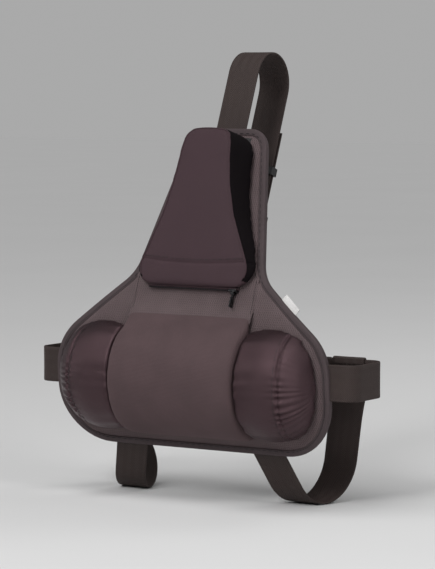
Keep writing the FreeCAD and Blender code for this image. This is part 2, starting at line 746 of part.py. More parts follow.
def buckle_socket():
    """Hollow half of the side-release buckle, with a window in its top and bottom edges."""
    outer = buckle_depths(0)
    inner = buckle_depths(FITTING_WALL)
    shell = side_fitting(MOUTH_X, HOLLOW_END + SOCKET_WEB, *outer, RAIL_WIDTH)
    hollow = side_fitting(MOUTH_X, HOLLOW_END, *inner, RAIL_WIDTH - FITTING_WALL)
    window = side_fitting(WINDOW_X, HOLLOW_END - WINDOW_MARGIN, *inner, RAIL_WIDTH + FITTING_WALL)
    rails = side_fitting(HOLLOW_END, SOCKET_BAR + BAR_RADIUS, *outer, RAIL_WIDTH)
    gap = side_fitting(HOLLOW_END + SOCKET_WEB, SOCKET_BAR + 2 * WRAP, *outer)
    return fused(shell.cut(hollow).cut(window), rails.cut(gap), side_bar(SOCKET_BAR))


def arm_root(radius, height, inset):
    """The round root of a latch arm, along Y."""
    front, rear = buckle_depths(inset)
    return Part.makeCylinder(radius, rear - front, V(ARM_ROOT_X, front, height), V(0, 1, 0))


def buckle_plug():
    """Plug half of the buckle: webbing frame, cross wall with the arms' seats, middle tongue."""
    rails = side_fitting(PLUG_BAR - BAR_RADIUS, STOP_X, *buckle_depths(0), RAIL_WIDTH)
    gap = side_fitting(PLUG_BAR - 2 * WRAP, STOP_X - CROSS_WALL, *buckle_depths(0))
    depths = buckle_depths(FITTING_WALL + CLEAR)
    sides = (SIDE_STRAP_HEIGHT - TONGUE_HALF_WIDTH, SIDE_STRAP_HEIGHT + TONGUE_HALF_WIDTH)
    tongue = block(STOP_X - CROSS_WALL / 2, HOLLOW_END - TONGUE_MARGIN, *depths, *sides)
    plug = fused(rails.cut(gap), side_bar(PLUG_BAR), tongue)
    for height in (ARM_HEIGHT, 2 * SIDE_STRAP_HEIGHT - ARM_HEIGHT):
        plug = plug.cut(arm_root(ARM_ROOT_RADIUS + CLEAR, height, FITTING_WALL))
    return plug


def latch_arm():
    """Upper sprung arm of the plug, with its thumb pad in the socket's window."""
    depths = buckle_depths(FITTING_WALL + CLEAR)
    neck = block(ARM_ROOT_X, ARM_END, *depths, ARM_HEIGHT - NECK_THICK / 2, ARM_HEIGHT + NECK_THICK / 2)
    start = WINDOW_X + 2 * CLEAR
    top = SIDE_STRAP_HEIGHT + STRAP_WIDTH / 2 + CLEAR + RAIL_WIDTH + THUMB_PROUD
    thumb = block(start, ARM_END, *depths, ARM_HEIGHT - ARM_THICK / 2, top)
    return fused(arm_root(ARM_ROOT_RADIUS, ARM_HEIGHT, FITTING_WALL + CLEAR), neck, thumb)


def lower_copy(shape):
    """The upper latch arm's twin below the side strap's middle."""
    return shape.mirror(V(0, 0, SIDE_STRAP_HEIGHT), V(0, 0, 1))


def side_keeper():
    """Plastic loop that holds the side strap's tail flat."""
    y0 = REAR_OUT - CLEAR
    y1 = REAR_OUT + STRAP_THICK + 2 * WRAP + CLEAR
    x0, x1 = SIDE_KEEPER_X - KEEPER_LENGTH / 2, SIDE_KEEPER_X + KEEPER_LENGTH / 2
    outer = side_fitting(x0, x1, y0 - FITTING_WALL, y1 + FITTING_WALL, FITTING_WALL)
    return outer.cut(side_fitting(x0, x1, y0, y1))


def upper_fitting(v0, v1, w0, w1, reach=0.0):
    """A block on the upper run, reach past the webbing's edges."""
    half = STRAP_WIDTH / 2 + CLEAR + reach
    return block(-half, half, v0, v1, w0, w1)


def ladder_lock():
    """Two-bar lock between the anchor strap and the top strap."""
    deep = TOP_REAR - 2 * WRAP - STRAP_THICK / 2
    shallow = ANCHOR_REAR + STRAP_THICK / 2
    rails = upper_fitting(LADDER_FOOT - LADDER_END, LADDER_HEAD + LADDER_END, deep, shallow, RAIL_WIDTH)
    gap = upper_fitting(0, LADDER_HEAD + LADDER_FOOT, deep, shallow)
    half = STRAP_WIDTH / 2 + CLEAR + RAIL_WIDTH / 2
    foot = rod(-half, half, LADDER_FOOT, ANCHOR_REAR - WRAP, BAR_RADIUS)
    head = rod(-half, half, LADDER_HEAD, TOP_REAR - WRAP, BAR_RADIUS)
    middle = (LADDER_FOOT + LADDER_HEAD) / 2
    ends = (middle - BRIDGE_HALF_LENGTH, middle + BRIDGE_HALF_LENGTH)
    bridge = upper_fitting(*ends, deep + BRIDGE_INSET, shallow - BRIDGE_INSET, RAIL_WIDTH / 2)
    return upper_run(fused(rails.cut(gap), foot, head, bridge))


def top_keeper():
    """Plastic loop that holds the top strap's tail flat."""
    w0 = TOP_REAR - 2 * WRAP - STRAP_THICK / 2 - CLEAR
    w1 = TOP_REAR + STRAP_THICK / 2 + CLEAR
    middle = LADDER_HEAD + TOP_KEEPER_RISE
    v0, v1 = middle - KEEPER_LENGTH / 2, middle + KEEPER_LENGTH / 2
    outer = upper_fitting(v0, v1, w0 - FITTING_WALL, w1 + FITTING_WALL, FITTING_WALL)
    return upper_run(outer.cut(upper_fitting(v0, v1, w0, w1)))


# ---- the whole -----------------------------------------------------------------------------------

def build():
    """Every node's shape by name."""
    panel = back_panel()
    binding = panel_binding(panel)
    straps = {
        "top_strap": top_strap(),
        "right_side_strap": right_side_strap(),
        "left_side_strap": left_side_strap(),
        "right_lower_strap": lower_strap(),
    }
    straps["left_lower_strap"] = mirrored(straps["right_lower_strap"])
    label = side_label(binding)
    for strap in straps.values():
        panel = panel.cut(strap)
        binding = binding.cut(strap)
    shapes = {"back_panel": panel, "panel_binding": binding, "side_label": label, **straps}
    shapes["loop_field"] = loop_field()
    shapes["centre_sleeve"] = centre_sleeve()
    shapes["centre_foam"] = centre_foam()
    foam = wing(COVER_WALL)
    cover = wing(0).cut(foam)
    shapes["right_wing_foam"] = foam
    shapes["right_wing_cover"] = cover
    shapes["left_wing_foam"] = mirrored(foam)
    shapes["left_wing_cover"] = mirrored(cover)
    core = pad_block(COVER_WALL)
    shapes["pad_foam"] = upper_run(core)
    shapes["pad_cover"] = upper_run(pad_block(0).cut(core))
    shapes["pad_hook_left"] = pad_hook(-HOOK_SPACING / 2)
    shapes["pad_hook_right"] = pad_hook(HOOK_SPACING / 2)
    shapes["zip_chain"] = zip_chain()
    shapes["zip_slider"] = zip_slider()
    shapes["zip_pull"] = zip_pull()
    shapes["anchor_strap"] = anchor_strap()
    shapes["ladder_lock"] = ladder_lock()
    shapes["top_keeper"] = top_keeper()
    shapes["side_keeper"] = side_keeper()
    shapes["buckle_socket"] = buckle_socket()
    shapes["buckle_plug"] = buckle_plug()
    shapes["latch_arm_upper"] = latch_arm()
    shapes["latch_arm_lower"] = lower_copy(latch_arm())
    return shapes


def main():
    os.makedirs("parts", exist_ok=True)
    for name, shape in build().items():
        solids = shape.Solids
        if not solids or not shape.isValid():
            raise ValueError(f"{name} has {len(solids)} solids, valid {shape.isValid()}")
        solid = solids[0] if len(solids) == 1 else Part.makeCompound(solids)
        solid.exportStep(f"parts/{name}.step")
        print(f"{name}: {len(solids)} solid, {sum(s.Volume for s in solids) / 1000:.2f} cm3")


main()
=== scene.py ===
import math

import bmesh
import bpy
import numpy as np
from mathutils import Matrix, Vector
from mathutils.bvhtree import BVHTree


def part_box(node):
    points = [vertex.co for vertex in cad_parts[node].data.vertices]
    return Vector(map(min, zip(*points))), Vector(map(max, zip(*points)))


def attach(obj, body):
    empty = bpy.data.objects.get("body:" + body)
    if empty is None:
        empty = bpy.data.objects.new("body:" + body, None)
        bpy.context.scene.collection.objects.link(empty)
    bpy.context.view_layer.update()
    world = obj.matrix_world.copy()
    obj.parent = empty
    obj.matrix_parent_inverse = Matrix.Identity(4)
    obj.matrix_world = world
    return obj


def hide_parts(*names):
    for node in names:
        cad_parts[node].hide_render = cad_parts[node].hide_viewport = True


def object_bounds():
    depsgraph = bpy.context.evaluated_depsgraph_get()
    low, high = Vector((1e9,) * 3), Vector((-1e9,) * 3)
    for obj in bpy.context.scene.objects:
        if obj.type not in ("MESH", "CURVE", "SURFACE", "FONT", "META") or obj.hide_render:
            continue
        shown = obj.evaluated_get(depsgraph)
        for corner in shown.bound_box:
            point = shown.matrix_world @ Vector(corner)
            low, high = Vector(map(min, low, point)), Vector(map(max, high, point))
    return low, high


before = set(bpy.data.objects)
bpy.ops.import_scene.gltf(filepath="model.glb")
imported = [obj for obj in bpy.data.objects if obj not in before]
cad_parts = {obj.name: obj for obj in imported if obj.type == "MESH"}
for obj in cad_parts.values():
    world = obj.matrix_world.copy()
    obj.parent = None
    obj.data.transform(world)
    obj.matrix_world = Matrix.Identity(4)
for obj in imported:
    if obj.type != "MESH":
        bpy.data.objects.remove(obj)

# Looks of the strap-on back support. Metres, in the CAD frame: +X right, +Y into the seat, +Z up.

CAD_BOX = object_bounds()
MM = 0.001

# The seat back's front face, as in the CAD model
RADIUS = 230 * MM
LEAN = math.radians(22)
ARC_END = RADIUS * LEAN
ALONG = np.array([0, math.sin(LEAN), math.cos(LEAN)])
OUT = np.array([0, -math.cos(LEAN), math.sin(LEAN)])

# Panel outline and binding
BINDING_WIDTH = 7 * MM
BINDING_WALL = 1 * MM
BINDING_STEP = 2.5 * MM
PANEL_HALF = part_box("back_panel")[1][0]
PANEL_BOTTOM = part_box("panel_binding")[0][2] + BINDING_WALL
PANEL_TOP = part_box("panel_binding")[1][2] - BINDING_WALL
PANEL_THICK = 5 * MM
PANEL_ROWS = 150
PANEL_COLUMNS = 90
PUFF = 1.3 * MM
NECK = (80 * MM, 92 * MM)
CROWN_HALF = 46 * MM
SHOULDER = 20 * MM
OUTLINE_RADII = (60 * MM, 60 * MM, 42 * MM, 24 * MM)
LAYER = 1.2 * MM
LABEL_LENGTH = 24 * MM
LABEL_WIDTH = 8 * MM
LABEL_THICK = 0.9 * MM

# Lumbar roll
ROLL_LOW, ROLL_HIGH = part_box("centre_foam")
WALL = 1.2 * MM
CENTRE_HALF = ROLL_HIGH[0]
ROLL_MID_Z = (ROLL_LOW[2] + ROLL_HIGH[2]) / 2
ROLL_FRONT = ROLL_LOW[1] - WALL
ROLL_SEMI_Z = 64 * MM
ROLL_SEMI_Y = 56 * MM
ROLL_MID_Y = ROLL_FRONT + ROLL_SEMI_Y
SLEEVE_INSET = 1.6 * MM
SLEEVE_DRAWN = 2.2 * MM
SKIRT = 11 * MM
SKIRT_DEPTH = 24 * MM
FLAP_FOOT = 60 * MM
FLAP_TOP = 124 * MM
FLAP_SETTLE = 20 * MM
FLAP_LIFT = 5 * MM
FLAP_THICK = 1 * MM
WING_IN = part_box("right_wing_cover")[0][0]
WING_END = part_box("right_wing_cover")[1][0]
WING_PROUD = 3 * MM
WING_INSET = 3.6 * MM
WING_DRAWN = 2.4 * MM
CAP_SEAM = 127 * MM
CAP_BOW = 5 * MM
CAP_GATHER = 1.5 * MM
CAP_GROOVE = 1.5 * MM

# Mid-back pad, in its own frame: x, v up the upper run, w in front of it
PAD_FOOT = -9 * MM
PAD_HEAD = 161.4 * MM
PAD_REAR = 7.7 * MM
PAD_SEAM = 18 * MM
SEAM_SAG = 4 * MM
PAD_LIP = 5.5 * MM
PAD_HEAD_PROUD = 3 * MM
PAD_ROWS_V = np.array([-9, -2, 8, 18, 40, 66, 98, 130, 161.4]) * MM
PAD_BASE = np.array([75, 77, 78, 77.5, 70.5, 59, 48.5, 44.5, 41]) * MM
PAD_FRONT = np.array([73, 72, 70, 67, 57.5, 46.5, 38, 33, 30]) * MM
PAD_DEPTH = np.array([15.5, 20.5, 23.5, 25, 30, 36, 42, 46.5, 49]) * MM
PAD_FOOT_ROUND = (22 * MM, 25 * MM)
PAD_HEAD_ROUND = (20 * MM, 19 * MM)
PAD_SLACK = 2.2 * MM
PIPING = 0.95 * MM
ZIP_PITCH = 1.5 * MM

# Filling of the cushions
PRESSURE = 4.0
SWELLING_FRAMES = 20
COARSE_GRID = 4 * MM
FINE_GRID = 3 * MM
CENTRE_SWELL = 2.6 * MM
WING_SWELL = 3 * MM
PAD_SWELL = 4.5 * MM
CORE_SHARE = 0.88

# Webbing
STRAP_WIDTH = 38 * MM
STRAP_THICK = 1.8 * MM
STRAP_STEP = 3 * MM
STITCH_LIFT = 0.1 * MM
SEWN_IN = 14 * MM
CLEAR = 0.3 * MM
BAR_HALF = 1.3 * MM
WRAP = STRAP_THICK / 2 + BAR_HALF + CLEAR
TIGHT = 0.99 * WRAP
SPLAY = math.radians(18)
SIDE_Z = -10 * MM
REAR_IN = 60 * MM + CLEAR
SIDE_REAR = REAR_IN + 1.5 * STRAP_THICK + CLEAR
SIDE_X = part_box("right_side_strap")[1][0] - STRAP_THICK / 2
SIDE_FRONT = -1.4 * MM
SIDE_BEND = 14 * MM
SIDE_TAIL_END = 121 * MM
SOCKET_TAIL = 18 * MM
TOP_CREST = 240 * MM
LOCK_BAR = 94 * MM
TOP_TAIL = 102 * MM
ANCHOR_TOP = 60 * MM
ANCHOR_TAIL = 42 * MM
LOWER_TURN = 42 * MM
LOOPS_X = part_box("right_lower_strap")[1][0] - STRAP_WIDTH / 2

RIGHT = np.array([1.0, 0, 0])
BACK = np.array([0, 1.0, 0])
UP = np.array([0, 0, 1.0])


# ---- geometry ----------------------------------------------------------------------------------

def seat(s, w, x):
    """Points s up along the seat back's face and w in front of it. Arrays or numbers."""
    s, w, x = np.broadcast_arrays(np.asarray(s, float), w, x)
    side = np.where(s < 0, -1.0, 1.0)
    bend = np.minimum(np.abs(s), ARC_END) / RADIUS
    run = np.maximum(np.abs(s) - ARC_END, 0)
    y = RADIUS - (RADIUS + w) * np.cos(bend) + run * np.sin(bend)
    z = side * ((RADIUS + w) * np.sin(bend) + run * np.cos(bend))
    return np.stack([x, y, z], -1)


def seat_place(points):
    """The s and w of points: the inverse of seat."""
    y, z = points[..., 1], np.abs(points[..., 2])
    angle = np.arctan2(z, RADIUS - y)
    origin = seat(ARC_END, 0, 0)
    along = (y - origin[1]) * ALONG[1] + (z - origin[2]) * ALONG[2]
    out = (y - origin[1]) * OUT[1] + (z - origin[2]) * OUT[2]
    arc = angle <= LEAN
    s = np.where(arc, RADIUS * angle, ARC_END + along)
    w = np.where(arc, np.hypot(RADIUS - y, z) - RADIUS, out)
    return np.where(points[..., 2] < 0, -s, s), w


def height_run(z):
    """The s of the place on the face at height z."""
    rise = RADIUS * math.sin(LEAN)
    size = np.abs(z)
    arc = RADIUS * np.arcsin(np.clip(size / RADIUS, 0, 1))
    s = np.where(size <= rise, arc, ARC_END + (size - rise) / math.cos(LEAN))
    return np.copysign(s, z)


def pad_point(x, v, w):
    """Points in the pad's frame, in the row frame."""
    x, v, w = np.broadcast_arrays(np.asarray(x, float), v, w)
    return seat(ARC_END, 0, 0) + x[..., None] * RIGHT + v[..., None] * ALONG + w[..., None] * OUT


def pad_place(points):
    """The x, v and w of points in the pad's frame."""
    off = points - seat(ARC_END, 0, 0)
    return points[..., 0], off @ ALONG, off @ OUT


def round_path(points, radii, step=2.0 * MM, arc_steps=12):
    """A line in two or three dimensions with its inner corners rounded, sampled about every step."""
    points = [np.array(p, float) for p in points]
    path = [points[0]]
    for before, point, after, radius in zip(points, points[1:], points[2:], radii):
        a, b = before - point, after - point
        a, b = a / np.linalg.norm(a), b / np.linalg.norm(b)
        half = math.acos(float(np.clip(a @ b, -1, 1))) / 2
        middle = (a + b) / np.linalg.norm(a + b)
        centre = point + middle * radius / math.sin(half)
        first, last = point + a * radius / math.tan(half), point + b * radius / math.tan(half)
        u, v = first - centre, last - centre
        turn = math.pi - 2 * half
        for i in range(arc_steps + 1):
            t = turn * i / arc_steps
            path.append(centre + (u * math.sin(turn - t) + v * math.sin(t)) / math.sin(turn))
    path.append(points[-1])
    full = [path[0]]
    for p in path[1:]:
        gap = np.linalg.norm(p - full[-1])
        if gap < 1e-7:
            continue
        start = full[-1]
        for i in range(1, max(1, round(gap / step)) + 1):
            full.append(start + (p - start) * i / max(1, round(gap / step)))
    return np.array(full)


def way_along(path):
    """Each point's distance along a line."""
    return np.concatenate([[0], np.cumsum(np.linalg.norm(np.diff(path, axis=0), axis=1))])


def resampled(path, count, closed=False):
    """count points evenly spaced along a line."""
    path = np.vstack([path, path[:1]]) if closed else path
    way = way_along(path)
    at = np.linspace(0, way[-1], count, endpoint=not closed)
    return np.stack([np.interp(at, way, path[:, k]) for k in range(path.shape[1])], -1)


def panel_half_outline():
    """The right half of the panel's edge as x and z, from the bottom middle to the top middle."""
    corners = [(0, PANEL_BOTTOM), (PANEL_HALF, PANEL_BOTTOM), (PANEL_HALF, SHOULDER), NECK,
               (CROWN_HALF, PANEL_TOP), (0, PANEL_TOP)]
    return round_path(corners, OUTLINE_RADII)


HALF_OUTLINE = panel_half_outline()


def panel_half_width(z):
    """The panel's half width at height z."""
    return np.interp(z, HALF_OUTLINE[:, 1] + np.arange(len(HALF_OUTLINE)) * 1e-9, HALF_OUTLINE[:, 0])


def smooth(t):
    """0 to 1 with soft ends."""
    t = np.clip(t, 0, 1)
    return t * t * (3 - 2 * t)


def wobble(points, size, seed):
    """Smooth repeatable noise from -1 to 1 with features of about that size."""
    rng = np.random.default_rng(seed)
    total = np.zeros(len(points))
    for _ in range(10):
        direction = rng.normal(size=3)
        direction *= rng.uniform(0.6, 1.6) * 2 * math.pi / size / np.linalg.norm(direction)
        total += np.sin(points @ direction + rng.uniform(0, 2 * math.pi))
    return total / 10 * 1.8


# ---- meshes ------------------------------------------------------------------------------------

def linked(name, data):
    """A new object in the scene."""
    obj = bpy.data.objects.new(name, data)
    bpy.context.scene.collection.objects.link(obj)
    return obj


def add_mesh(name, verts, faces, body, uvs=None, materials=(), smooth_faces=True):
    """A mesh object that rides on a body. uvs is one pair per vertex."""
    mesh = bpy.data.meshes.new(name)
    mesh.from_pydata([tuple(v) for v in verts], [], [tuple(f) for f in faces])
    obj = linked(name, mesh)
    for material in materials:
        mesh.materials.append(material)
    if uvs is not None:
        set_uvs(mesh, np.asarray(uvs)[corner_verts(mesh)])
    if smooth_faces:
        mesh.shade_smooth()
    if body:
        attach(obj, body)
    return obj


def corner_verts(mesh):
    """The vertex index of every face corner."""
    found = np.empty(len(mesh.loops), int)
    mesh.loops.foreach_get("vertex_index", found)
    return found


def set_uvs(mesh, per_corner):
    """Writes the weave's coordinates, in metres."""
    layer = mesh.uv_layers.get("weave") or mesh.uv_layers.new(name="weave")
    layer.data.foreach_set("uv", np.asarray(per_corner, np.float32).ravel())


def strip_uvs(across, along):
    """Weave coordinates of a swept section's points, ring by ring."""
    return np.stack([np.tile(across, len(along)), np.repeat(along, len(across))], -1)


def triples(items, key):
    """A vector attribute of mesh elements, as rows of three."""
    found = np.empty(len(items) * 3)
    items.foreach_get(key, found)
    return found.reshape(-1, 3)


def coordinates(mesh):
    """Vertex places as an array."""
    return triples(mesh.vertices, "co")


def normals(mesh):
    """Vertex normals as an array."""
    return triples(mesh.vertices, "normal")


def move_to(mesh, co):
    """Writes vertex places."""
    mesh.vertices.foreach_set("co", np.ascontiguousarray(co).ravel())
    mesh.update()


def grid_faces(rows, columns, wrap_rows=False, wrap_columns=False, first=0):
    """Quads over a grid of vertices."""
    faces = []
    for i in range(rows - (0 if wrap_rows else 1)):
        for j in range(columns - (0 if wrap_columns else 1)):
            a, b = i * columns + j, i * columns + (j + 1) % columns
            c, d = (i + 1) % rows * columns + (j + 1) % columns, (i + 1) % rows * columns + j
            faces.append((first + a, first + b, first + c, first + d))
    return faces


def slab(name, top, under, uvs, materials):
    """A thin slab between two grids of points, riding on the harness."""
    rows, columns = top.shape[:2]
    count = rows * columns
    faces = [f[::-1] for f in grid_faces(rows, columns)]
    faces += grid_faces(rows, columns, first=count)
    ring = list(range(columns))
    ring += [i * columns + columns - 1 for i in range(1, rows)]
    ring += [(rows - 1) * columns + j for j in range(columns - 2, -1, -1)]
    ring += [i * columns for i in range(rows - 2, 0, -1)]
    for a, b in zip(ring, ring[1:] + ring[:1]):
        faces.append((a, b, b + count, a + count))
    verts = np.vstack([top.reshape(-1, 3), under.reshape(-1, 3)])
    uvs = np.tile(np.stack(np.broadcast_arrays(*uvs), -1).reshape(-1, 2), (2, 1))
    obj = add_mesh(name, verts, faces, "harness", uvs, materials)
    outward(obj)
    return obj


def loft(rings, closed_path=False):
    """Vertices and faces of closed rings joined in order, with flat ends."""
    rings = np.asarray(rings)
    rows, columns = rings.shape[:2]
    faces = grid_faces(rows, columns, wrap_rows=closed_path, wrap_columns=True)
    if not closed_path:
        faces.append(tuple(range(columns))[::-1])
        faces.append(tuple((rows - 1) * columns + j for j in range(columns)))
    return rings.reshape(-1, 3), faces


def outward(obj):
    """Makes face normals point out."""
    work = bmesh.new()
    work.from_mesh(obj.data)
    bmesh.ops.recalc_face_normals(work, faces=work.faces)
    work.to_mesh(obj.data)
    work.free()


def evaluated_mesh(obj):
    """A new mesh with obj's modifiers applied."""
    graph = bpy.context.evaluated_depsgraph_get()
    graph.update()
    return bpy.data.meshes.new_from_object(obj.evaluated_get(graph))


def apply_modifiers(obj):
    """Bakes every modifier into obj's mesh."""
    mesh = evaluated_mesh(obj)
    obj.modifiers.clear()
    old, obj.data = obj.data, mesh
    bpy.data.meshes.remove(old)


def subdivided(obj):
    """Adds one level of subdivision to obj's mesh."""
    finer = obj.modifiers.new("finer", "SUBSURF")
    finer.levels = finer.render_levels = 1
    apply_modifiers(obj)


def soft_edge(obj, width, segments=2):
    """Rounds obj's sharp edges."""
    edge = obj.modifiers.new("soft edge", "BEVEL")
    edge.width, edge.segments, edge.limit_method = width, segments, "ANGLE"
    return edge


def closed_cover(name, rings, *materials):
    """A cushion's cover lofted through rings, ready to be stuffed."""
    verts, faces = loft(rings)
    obj = add_mesh(name, verts, faces, None, materials=materials)
    outward(obj)
    return obj


def stuffed(obj, grid, most, pinned):
    """Swells a closed cloth cover round its filling, by most at the most.

    pinned gives 0 to 1 for places held by seams.
    """
    remesh = obj.modifiers.new("grid", "REMESH")
    remesh.mode, remesh.voxel_size = "VOXEL", grid
    relax = obj.modifiers.new("relax", "SMOOTH")
    relax.factor, relax.iterations = 0.5, 4
    apply_modifiers(obj)
    start = coordinates(obj.data)
    group = obj.vertex_groups.new(name="seams")
    held = pinned(start)
    for index in np.flatnonzero(held > 0.02):
        group.add([int(index)], float(held[index]), "REPLACE")
    cloth = obj.modifiers.new("stuffing", "CLOTH")
    settings = cloth.settings
    settings.quality = 5
    settings.mass = 0.3
    settings.tension_stiffness = settings.compression_stiffness = 12
    settings.shear_stiffness = 4
    settings.bending_stiffness = 0.3
    settings.use_pressure = True
    settings.uniform_pressure_force = PRESSURE
    settings.effector_weights.gravity = 0
    settings.vertex_group_mass = "seams"
    cloth.collision_settings.use_collision = False
    cloth.point_cache.frame_start, cloth.point_cache.frame_end = 1, SWELLING_FRAMES
    scene = bpy.context.scene
    for number in range(1, SWELLING_FRAMES + 1):
        scene.frame_set(number)
    swollen = evaluated_mesh(obj)
    moved = coordinates(swollen) - start
    size = np.linalg.norm(moved, axis=1, keepdims=True)
    obj.modifiers.clear()
    move_to(obj.data, start + moved * np.minimum(1, most / np.maximum(size, 1e-9)))
    bpy.data.meshes.remove(swollen)
    scene.frame_set(1)
    subdivided(obj)
    obj.data.shade_smooth()


def surface_of(obj):
    """A search tree of obj's mesh."""
    mesh = obj.data
    places = [v.co[:] for v in mesh.vertices]
    return BVHTree.FromPolygons(places, [p.vertices[:] for p in mesh.polygons])


def laid_on(tree, path, lift):
    """Path points moved to the nearest place on a surface, lift above it, with the normals there."""
    places, facing = [], []
    for p in path:
        near, normal, _, _ = tree.find_nearest(Vector(p))
        facing.append(np.array(normal))
        places.append(np.array(near) + facing[-1] * lift)
    return np.array(places), np.array(facing)


def tangents(path, closed=False):
    """Unit directions along a line."""
    if closed:
        run = np.roll(path, -1, axis=0) - np.roll(path, 1, axis=0)
    else:
        run = np.gradient(path, axis=0)
    return run / np.maximum(np.linalg.norm(run, axis=1, keepdims=True), 1e-12)


def sweep(path, up, section, closed=False, level=False):
    """Closed section (side, up) carried along a line. up is each point's outward direction.

    A level sweep keeps every section's side along X.
    """
    along = tangents(path, closed)
    side = np.cross(along, up)
    side /= np.maximum(np.linalg.norm(side, axis=1, keepdims=True), 1e-12)
    rise = np.cross(side, along)
    if level:
        side = np.sign(side[:, :1]) * RIGHT
    section = np.asarray(section)
    if section.ndim == 2:
        section = np.broadcast_to(section, (len(path), *section.shape))
    rings = path[:, None] + side[:, None] * section[..., :1] + rise[:, None] * section[..., 1:]
    return loft(rings, closed_path=closed)


def circle(radius, count=8, flat=1.0):
    """A round section, flattened by flat."""
    t = np.linspace(0, 2 * math.pi, count, endpoint=False)
    return np.stack([radius * np.cos(t), radius * flat * np.sin(t)], -1)


def merged(parts):
    """Several vertex and face lists as one."""
    verts, faces, first = [], [], 0
    for part_verts, part_faces in parts:
        verts.append(part_verts)
        faces += [tuple(i + first for i in f) for f in part_faces]
        first += len(part_verts)
    return np.vstack(verts), faces


def stitch_run(path, up, length=2.6 * MM, gap=1.1 * MM, radius=0.38 * MM, closed=False):
    """Separate thread stitches along a line, each dipping into the cloth at its ends."""
    count = max(1, int(way_along(path)[-1] / (length + gap)))
    ups = resampled(np.hstack([path, up]), count * 8, closed)
    parts = []
    for i in range(count):
        piece = ups[i * 8:i * 8 + 6]
        lift = np.array([-0.9, 0.1, 0.6, 0.6, 0.1, -0.9])[:, None] * radius
        line = piece[:, :3] + piece[:, 3:] * lift
        parts.append(sweep(line, piece[:, 3:], circle(radius, 6, 0.8)))
    return merged(parts)


def thread(name, paths, body, slot, closed=False, **sizes):
    """One piece of stitching from several runs of (path, up)."""
    verts, faces = merged([stitch_run(p, u, closed=closed, **sizes) for p, u in paths])
    obj = add_mesh(name, verts, faces, body, materials=[M["thread"]])


# ---- materials -----------------------------------------------------------------------------------

class Graph:
    """Short calls for building a material's nodes."""

    def __init__(self, name):
        self.material = bpy.data.materials.new(name)
        self.material.use_nodes = True
        self.tree = self.material.node_tree
        self.shader = self.tree.nodes["Principled BSDF"]

    def node(self, kind, **values):
        made = self.tree.nodes.new(kind)
        for key, value in values.items():
            setattr(made, key, value)
        return made

    def feed(self, socket, value):
        if isinstance(value, bpy.types.NodeSocket):
            self.tree.links.new(value, socket)
        else:
            socket.default_value = value

    def math(self, operation, a, b=0.0):
        made = self.node("ShaderNodeMath", operation=operation)
        self.feed(made.inputs[0], a)
        self.feed(made.inputs[1], b)
        return made.outputs[0]

    def plus(self, a, b, share):
        """a and a share of b."""
        return self.math("ADD", a, self.math("MULTIPLY", b, share))

    def wave(self, value, pitch):
        """A sine of value, one period per pitch, from 0 to 1."""
        turned = self.math("SINE", self.math("MULTIPLY", value, 2 * math.pi / pitch))
        return self.math("MULTIPLY", self.math("ADD", turned, 1.0), 0.5)

    def weave_axes(self):
        """The weave's two coordinates in metres."""
        found = self.node("ShaderNodeUVMap", uv_map="weave")
        split = self.node("ShaderNodeSeparateXYZ")
        self.tree.links.new(found.outputs[0], split.inputs[0])
        return split.outputs[0], split.outputs[1]

    def noise(self, size, detail=3.0, stretch=(1, 1, 1)):
        """Noise in the row frame, with features of about that size in metres."""
        place = self.node("ShaderNodeTexCoord").outputs["Object"]
        scaled = self.node("ShaderNodeVectorMath", operation="MULTIPLY")
        self.tree.links.new(place, scaled.inputs[0])
        scaled.inputs[1].default_value = [k / size for k in stretch]
        made = self.node("ShaderNodeTexNoise")
        self.tree.links.new(scaled.outputs[0], made.inputs["Vector"])
        made.inputs["Scale"].default_value = 1.0
        made.inputs["Detail"].default_value = detail
        return made.outputs["Fac"]

    def span(self, value, low, high, to_low=0.0, to_high=1.0):
        made = self.node("ShaderNodeMapRange")
        self.feed(made.inputs["Value"], value)
        ends = (("From Min", low), ("From Max", high), ("To Min", to_low), ("To Max", to_high))
        for key, number in ends:
            made.inputs[key].default_value = number
        return made.outputs[0]

    def mixed(self, factor, a, b):
        made = self.node("ShaderNodeMix", data_type="RGBA")
        self.feed(made.inputs[0], factor)
        self.feed(made.inputs[6], (*a, 1) if isinstance(a, tuple) else a)
        self.feed(made.inputs[7], (*b, 1) if isinstance(b, tuple) else b)
        return made.outputs[2]

    def bump(self, height, distance, strength=1.0):
        made = self.node("ShaderNodeBump")
        made.inputs["Strength"].default_value = strength
        made.inputs["Distance"].default_value = distance
        self.feed(made.inputs["Height"], height)
        self.tree.links.new(made.outputs[0], self.shader.inputs["Normal"])

    def finish(self, colour, roughness, **fixed):
        self.feed(self.shader.inputs["Base Color"], colour)
        self.feed(self.shader.inputs["Roughness"], roughness)
        for key, value in fixed.items():
            self.shader.inputs[key.replace("_", " ")].default_value = value
        return self.material


def toned(colour, factor):
    """A colour made lighter or darker."""
    return tuple(min(1.0, c * factor) for c in colour)


def pattern_height(graph, weave, pitch):
    """The weave's height from 0 to 1."""
    u, v = graph.weave_axes()
    if weave == "mesh":
        across, back = (graph.wave(graph.plus(u, v, slope), pitch) for slope in (0.5, -0.5))
        return graph.math("MAXIMUM", across, back)
    if weave == "satin":
        fine = graph.wave(graph.plus(u, v, 3.0), pitch)
        return graph.math("MULTIPLY", fine, graph.wave(v, pitch * 0.7))
    if weave == "rib":
        cross = graph.span(graph.wave(u, pitch * 0.6), 0, 1, 0.7, 1.0)
        return graph.math("MULTIPLY", graph.wave(v, pitch), cross)
    zigzag = graph.math("PINGPONG", u, pitch * 2.4)
    rib = graph.wave(graph.math("ADD", v, zigzag), pitch)
    return graph.math("MULTIPLY", rib, graph.span(graph.wave(u, pitch * 0.5), 0, 1, 0.75, 1.0))


